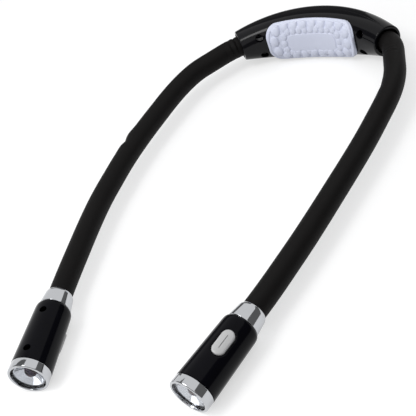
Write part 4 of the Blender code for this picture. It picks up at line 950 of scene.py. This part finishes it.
def make_casing(name, lamp):
    opening = flat_loops(button_outline(FIT_GAP), BUTTON_BASE, BEZEL_RADIUS + CUT_OVERRUN)
    halves = (("screw", 1, lamp_holes(lamp)), ("button", -1, [prism(opening, button_frame(lamp))]))
    for side, facing, solids in halves:
        add_piece(f"{name}_{side}_half", casing_half(facing, lamp), "gloss", f"{name}_lamp",
                  [f"{name}_casing_{side}_half"], [("DIFFERENCE", solids)])


def curved_loop(outline, radius):
    """An outline laid on a cylinder about the lamp's axis."""
    return [(x, y, sqrt(radius ** 2 - x ** 2)) for x, y in outline]


def make_button(name, lamp):
    """An oval cap that follows the casing's curve, with a flange and an engraved line."""
    skin = casing_radius(BUTTON_STATION)
    under_wall = casing_radius(BUTTON_STATION - BUTTON_LENGTH / 2) - CASING_WALL - FIT_GAP
    loops = [*flat_loops(button_outline(BUTTON_FLANGE), BUTTON_BASE),
             curved_loop(button_outline(BUTTON_FLANGE), under_wall),
             curved_loop(button_outline(0.0), under_wall)]
    top = skin + BUTTON_PROUD
    for angle in QUARTER:
        loops.append(curved_loop(button_outline(-BUTTON_EDGE * (1 - cos(angle))),
                                 top - BUTTON_EDGE * (1 - sin(angle))))
    for step in range(1, BUTTON_CORNER_STEPS):
        shrink = BUTTON_EDGE + (BUTTON_WIDTH / 2 - BUTTON_EDGE) * step / BUTTON_CORNER_STEPS
        loops.append(curved_loop(button_outline(-shrink), top))
    place = button_frame(lamp)
    half_width = BUTTON_LINE_HALF_WIDTH
    line = rounded_outline(half_width, BUTTON_LINE_HALF_LENGTH, half_width, ROUND_STEPS)
    groove = prism(flat_loops(line, top - BUTTON_LINE_DEPTH, top + CUT_OVERRUN), place)
    add_piece(f"{name}_button_cap", prism(loops, place), "silver", f"{name}_button_cap",
              [f"{name}_button"], [("DIFFERENCE", [groove])])


def make_bezel(name, lamp):
    skirt_radius = casing_radius(SKIRT_START) - CASING_WALL - FIT_GAP
    flange = LAMP_LENGTH - BEZEL_LENGTH
    profile = [(SKIRT_START, skirt_radius), (flange, skirt_radius), (flange, BEZEL_RADIUS - COLLAR_EDGE)]
    profile += arc(flange + COLLAR_EDGE, BEZEL_RADIUS - COLLAR_EDGE, COLLAR_EDGE, -pi / 2, 0.0)
    profile += arc(LAMP_LENGTH - BEZEL_ROUND, BEZEL_RADIUS - BEZEL_ROUND, BEZEL_ROUND, 0.0, pi / 2)
    lip = BEZEL_LIP_RADIUS + COLLAR_EDGE
    profile += arc(LAMP_LENGTH - COLLAR_EDGE, lip, COLLAR_EDGE, pi / 2, pi)
    profile += [(LAMP_LENGTH - BEZEL_LIP, BEZEL_LIP_RADIUS), (LAMP_LENGTH - BEZEL_LIP, LENS_BORE_RADIUS),
                (flange + BEZEL_STEP, LENS_BORE_RADIUS), (flange + BEZEL_STEP, BEZEL_BORE_RADIUS),
                (SKIRT_START, BEZEL_BORE_RADIUS)]
    add_turned(name, "bezel_ring", profile, lamp, "chrome", "bezel")


def make_reflector(name, lamp):
    """A bright bowl in a black rim that is painted shade, with a dome in its middle whose blue and brown
    drift is a painted reflection.
    """
    floor = REFLECTOR_FRONT - BOWL_DEPTH
    back = floor - REFLECTOR_WALL
    outside = BOWL_RADIUS + REFLECTOR_WALL
    profile = []
    for step in range(BOWL_STEPS + 1):
        share = (step / BOWL_STEPS) ** 2
        radius = sqrt(THROAT_RADIUS ** 2 + (BOWL_RADIUS ** 2 - THROAT_RADIUS ** 2) * share)
        profile.append((REFLECTOR_FRONT - BOWL_DEPTH * (1 - share), radius))
    profile += [(REFLECTOR_FRONT, outside), (back, outside), (back, THROAT_RADIUS)]
    add_turned(name, "reflector_bowl", profile, lamp, "mirror", "reflector")
    rim_front = REFLECTOR_FRONT - REFLECTOR_WALL
    # The black rim is painted shade in the gap behind the lip
    rim = [(back, outside), (rim_front, outside), (rim_front, LENS_RADIUS), (back, LENS_RADIUS)]
    add_turned(name, "reflector_rim", rim, lamp, "seat")
    # The dome's blue and brown colour is a painted reflection
    dome = [(back, THROAT_RADIUS), (floor, THROAT_RADIUS)]
    for step in range(1, BOWL_STEPS):
        angle = pi / 2 * step / BOWL_STEPS
        dome.append((floor + DOME_HEIGHT * sin(angle), THROAT_RADIUS * cos(angle)))
    add_turned(name, "source_dome", dome, lamp, "dome", None, False)


def make_lens(name, lamp):
    """A clear disc with a slight crown."""
    profile = [(LENS_BACK, FIT_GAP), (LENS_BACK, LENS_RADIUS)]
    for step in range(ROUND_STEPS + 1):
        share = 1 - step / ROUND_STEPS
        profile.append((LENS_FRONT - LENS_DOME * share ** 2, max(LENS_RADIUS * share, FIT_GAP)))
    add_turned(name, "lens_disc", profile, lamp, "lens", "lens", False)


def make_led(name, lamp):
    profile = [(SKIRT_START, LED_RADIUS)]
    for angle in QUARTER:
        station = SKIRT_START + LED_HEIGHT / 2 * (1 + sin(angle))
        profile.append((station, max(LED_RADIUS * cos(angle), FIT_GAP)))
    add_turned(name, "led_dome", profile, lamp, "led", "led", False, HOLE_SEGMENTS)


def make_lamp(name, course):
    lamp = course.frame(course.length) @ Matrix.Rotation(LAMP_TURN[name], 4, "Z")
    for make_part in (make_collar, make_casing, make_button, make_bezel, make_reflector, make_lens, make_led):
        make_part(name, lamp)


# Materials

def add_node(tree, kind, output, inputs, **settings):
    """An output of a new node, whose inputs are values or outputs of other nodes."""
    node = tree.nodes.new("ShaderNode" + kind)
    for label, value in settings.items():
        setattr(node, label, value)
    for label, value in inputs.items():
        if isinstance(value, bpy.types.NodeSocket):
            tree.links.new(value, node.inputs[label])
        else:
            node.inputs[label].default_value = value
    return node.outputs[output] if output else None


def add_noise(tree, waves, detail=NOISE_DETAIL):
    """Noise over the object's own places, at a number of waves to a metre."""
    place = add_node(tree, "TexCoord", "Object", {})
    return add_node(tree, "TexNoise", "Fac", {"Vector": place, "Scale": waves, "Detail": detail})


def make_material(name, dark, light, low, high, waves=PLASTIC_WAVES, detail=NOISE_DETAIL, grain=None,
                  values=None):
    """A finish whose colour and roughness drift between two values, some with a fine grain."""
    material = bpy.data.materials.new(name)
    material.use_nodes = True
    tree = material.node_tree
    inputs = tree.nodes["Principled BSDF"].inputs
    for label, value in {"Base Color": (*light, 1.0), "Roughness": low, **(values or {})}.items():
        inputs[label].default_value = value
    color_waves, roughness_waves = waves
    if dark != light:
        noise = add_noise(tree, color_waves, detail)
        shades = {"Factor": noise, "A": (*dark, 1.0), "B": (*light, 1.0)}
        tree.links.new(add_node(tree, "Mix", "Result", shades, data_type="RGBA"), inputs["Base Color"])
    spread = {"Value": add_noise(tree, roughness_waves), "To Min": low, "To Max": high}
    tree.links.new(add_node(tree, "MapRange", "Result", spread), inputs["Roughness"])
    if grain:
        grain_waves, strength = grain
        relief = {"Height": add_noise(tree, grain_waves), "Strength": strength, "Distance": GRAIN_HEIGHT}
        tree.links.new(add_node(tree, "Bump", "Normal", relief), inputs["Normal"])
    return material


def make_materials():
    materials = {}
    for key, finish in PLASTICS.items():
        materials[key] = make_material(*finish, **PLASTIC_DETAILS.get(key, {}))
    for key, finish in METALS.items():
        materials[key] = make_material(*finish, METAL_WAVES, values={"Metallic": 1.0})
    return materials


MATERIALS = make_materials()


def dress_nodes():
    """Gives every solid that still shows the finish of its record slot."""
    for part in frame["record"]["subparts"]:
        look = SLOT_FINISHES.get(part["material_slot"])
        if look:
            for slot in frame["nodes"][part["node"]].material_slots:
                slot.material = MATERIALS[look]


# Floor, light and camera

def seen_directly(tree):
    """1 for rays from the camera, in reflections and in glass, and 0 for the others."""
    seen = 0.0
    for ray in ("Camera", "Glossy", "Transmission"):
        kind = add_node(tree, "LightPath", f"Is {ray} Ray", {})
        seen = add_node(tree, "Math", "Value", {0: seen, 1: kind}, operation="MAXIMUM")
    return seen


def emptied_tree(owner):
    """The nodes of a material or a world, cleared."""
    owner.use_nodes = True
    owner.node_tree.nodes.clear()
    return owner.node_tree


def make_floor():
    """A pale floor that looks white, also in metal and glass, and keeps a soft shadow."""
    material = bpy.data.materials.new("floor_white")
    tree = emptied_tree(material)
    place = add_node(tree, "TexCoord", "Object", {})
    reach = add_node(tree, "VectorMath", "Value", {0: place}, operation="LENGTH")
    rise = {"Value": reach, "From Min": FLOOR_NEAR_REACH, "From Max": FLOOR_FAR_REACH,
            "To Min": FLOOR_GLOW_SHARE, "To Max": 1.0}
    level = add_node(tree, "MapRange", "Result", rise)
    strength = add_node(tree, "Math", "Value", {0: seen_directly(tree), 1: level}, operation="MULTIPLY")
    glow = add_node(tree, "Emission", "Emission", {"Strength": strength})
    surface = add_node(tree, "BsdfDiffuse", "BSDF", {"Color": (FLOOR_SHARE, FLOOR_SHARE, FLOOR_SHARE, 1.0)})
    both = add_node(tree, "AddShader", "Shader", {0: surface, 1: glow})
    add_node(tree, "OutputMaterial", None, {"Surface": both})
    span = FLOOR_HALF_SPAN
    points = [(-span, -span, 0.0), (span, -span, 0.0), (span, span, 0.0), (-span, span, 0.0)]
    add_mesh("floor", points, [(0, 1, 2, 3)], material)


def make_cards():
    """Dark cards round the set, which only show as the dark bands in gloss and chrome."""
    material = bpy.data.materials.new("card_dark")
    tree = emptied_tree(material)
    surface = add_node(tree, "Emission", "Emission", {"Strength": CARD_LEVEL_SHARE})
    add_node(tree, "OutputMaterial", None, {"Surface": surface})
    for name, sides in CARDS.items():
        start, along, up = [Vector(side) for side in sides]
        corners = [start, start + along, start + along + up, start + up]
        card = add_mesh(name, corners, [(0, 1, 2, 3)], material)
        for rays in ("camera", "diffuse", "transmission", "shadow"):
            setattr(card, "visible_" + rays, False)


def make_world():
    """White where it is seen, also in metal and glass, and dimmer as light."""
    world = bpy.data.worlds.new("studio")
    bpy.context.scene.world = world
    tree = emptied_tree(world)
    room = add_node(tree, "Background", "Background", {"Color": ROOM_COLOR, "Strength": ROOM_LEVEL_SHARE})
    white = add_node(tree, "Background", "Background", {"Color": (1.0, 1.0, 1.0, 1.0)})
    choose = add_node(tree, "MixShader", "Shader", {"Fac": seen_directly(tree), 1: room, 2: white})
    add_node(tree, "OutputWorld", None, {"Surface": choose})


def add_area_light(name, width, height, power, reflected):
    light = bpy.data.lights.new(name, "AREA")
    light.shape = "RECTANGLE"
    light.size = width
    light.size_y = height
    light.energy = power
    lamp = bpy.data.objects.new(name, light)
    bpy.context.scene.collection.objects.link(lamp)
    lamp.visible_camera = False
    lamp.visible_glossy = reflected
    return lamp


def toward(azimuth, elevation):
    """The direction at an azimuth and an elevation."""
    return Vector((sin(azimuth) * cos(elevation), -cos(azimuth) * cos(elevation), sin(elevation)))


def add_softbox(name, azimuth, elevation, width, height, power, reflected):
    """A soft light that looks at the middle of the object."""
    lamp = add_area_light(name, width, height, power, reflected)
    away = toward(radians(azimuth), radians(elevation))
    lamp.location = Vector((CAMERA_ASIDE, CAMERA_AHEAD, MOUTH_HEIGHT)) + LIGHT_DISTANCE * away
    lamp.rotation_euler = away.to_track_quat("Z", "Y").to_euler()


def make_lights():
    """Pale panels overhead, a key light from the left and a soft fill from the front."""
    for name, (left, right, front, back) in OVERHEAD_PANELS.items():
        width, depth = right - left, back - front
        lamp = add_area_light(name, width, depth, pi * OVERHEAD_LEVEL * width * depth, False)
        lamp.location = ((left + right) / 2, (front + back) / 2, OVERHEAD_RISE)
    for name, values in SOFTBOXES.items():
        add_softbox(name, *values)


def make_camera():
    """The camera at the photograph's angle and roll."""
    away = toward(CAMERA_AZIMUTH, CAMERA_ELEVATION)
    level = Vector((cos(CAMERA_AZIMUTH), sin(CAMERA_AZIMUTH), 0.0))
    back_reach = HOUSING_RADIUS * (1 - cos(HOUSING_HALF_TURN))
    target = Vector((CAMERA_ASIDE, CAMERA_AHEAD - back_reach, MOUTH_HEIGHT))
    camera = bpy.data.cameras.new("photo_camera")
    camera.sensor_width = SENSOR_WIDTH
    camera.lens = SENSOR_WIDTH * FOCAL_PIXELS / FRAME_PIXELS
    holder = bpy.data.objects.new("photo_camera", camera)
    bpy.context.scene.collection.objects.link(holder)
    upright = frame_at(target + CAMERA_DISTANCE * away, level, away.cross(level), away)
    holder.matrix_world = upright @ Matrix.Rotation(CAMERA_ROLL, 4, "Z")
    bpy.context.scene.camera = holder


def main():
    make_camera()
    make_world()
    make_floor()
    make_cards()
    make_lights()
    make_housing()
    make_pad()
    for name in ARM_SIDE:
        course = Course(name)
        make_arm(name, course)
        make_lamp(name, course)
    dress_nodes()
    bpy.context.scene.view_settings.view_transform = "Standard"


main()
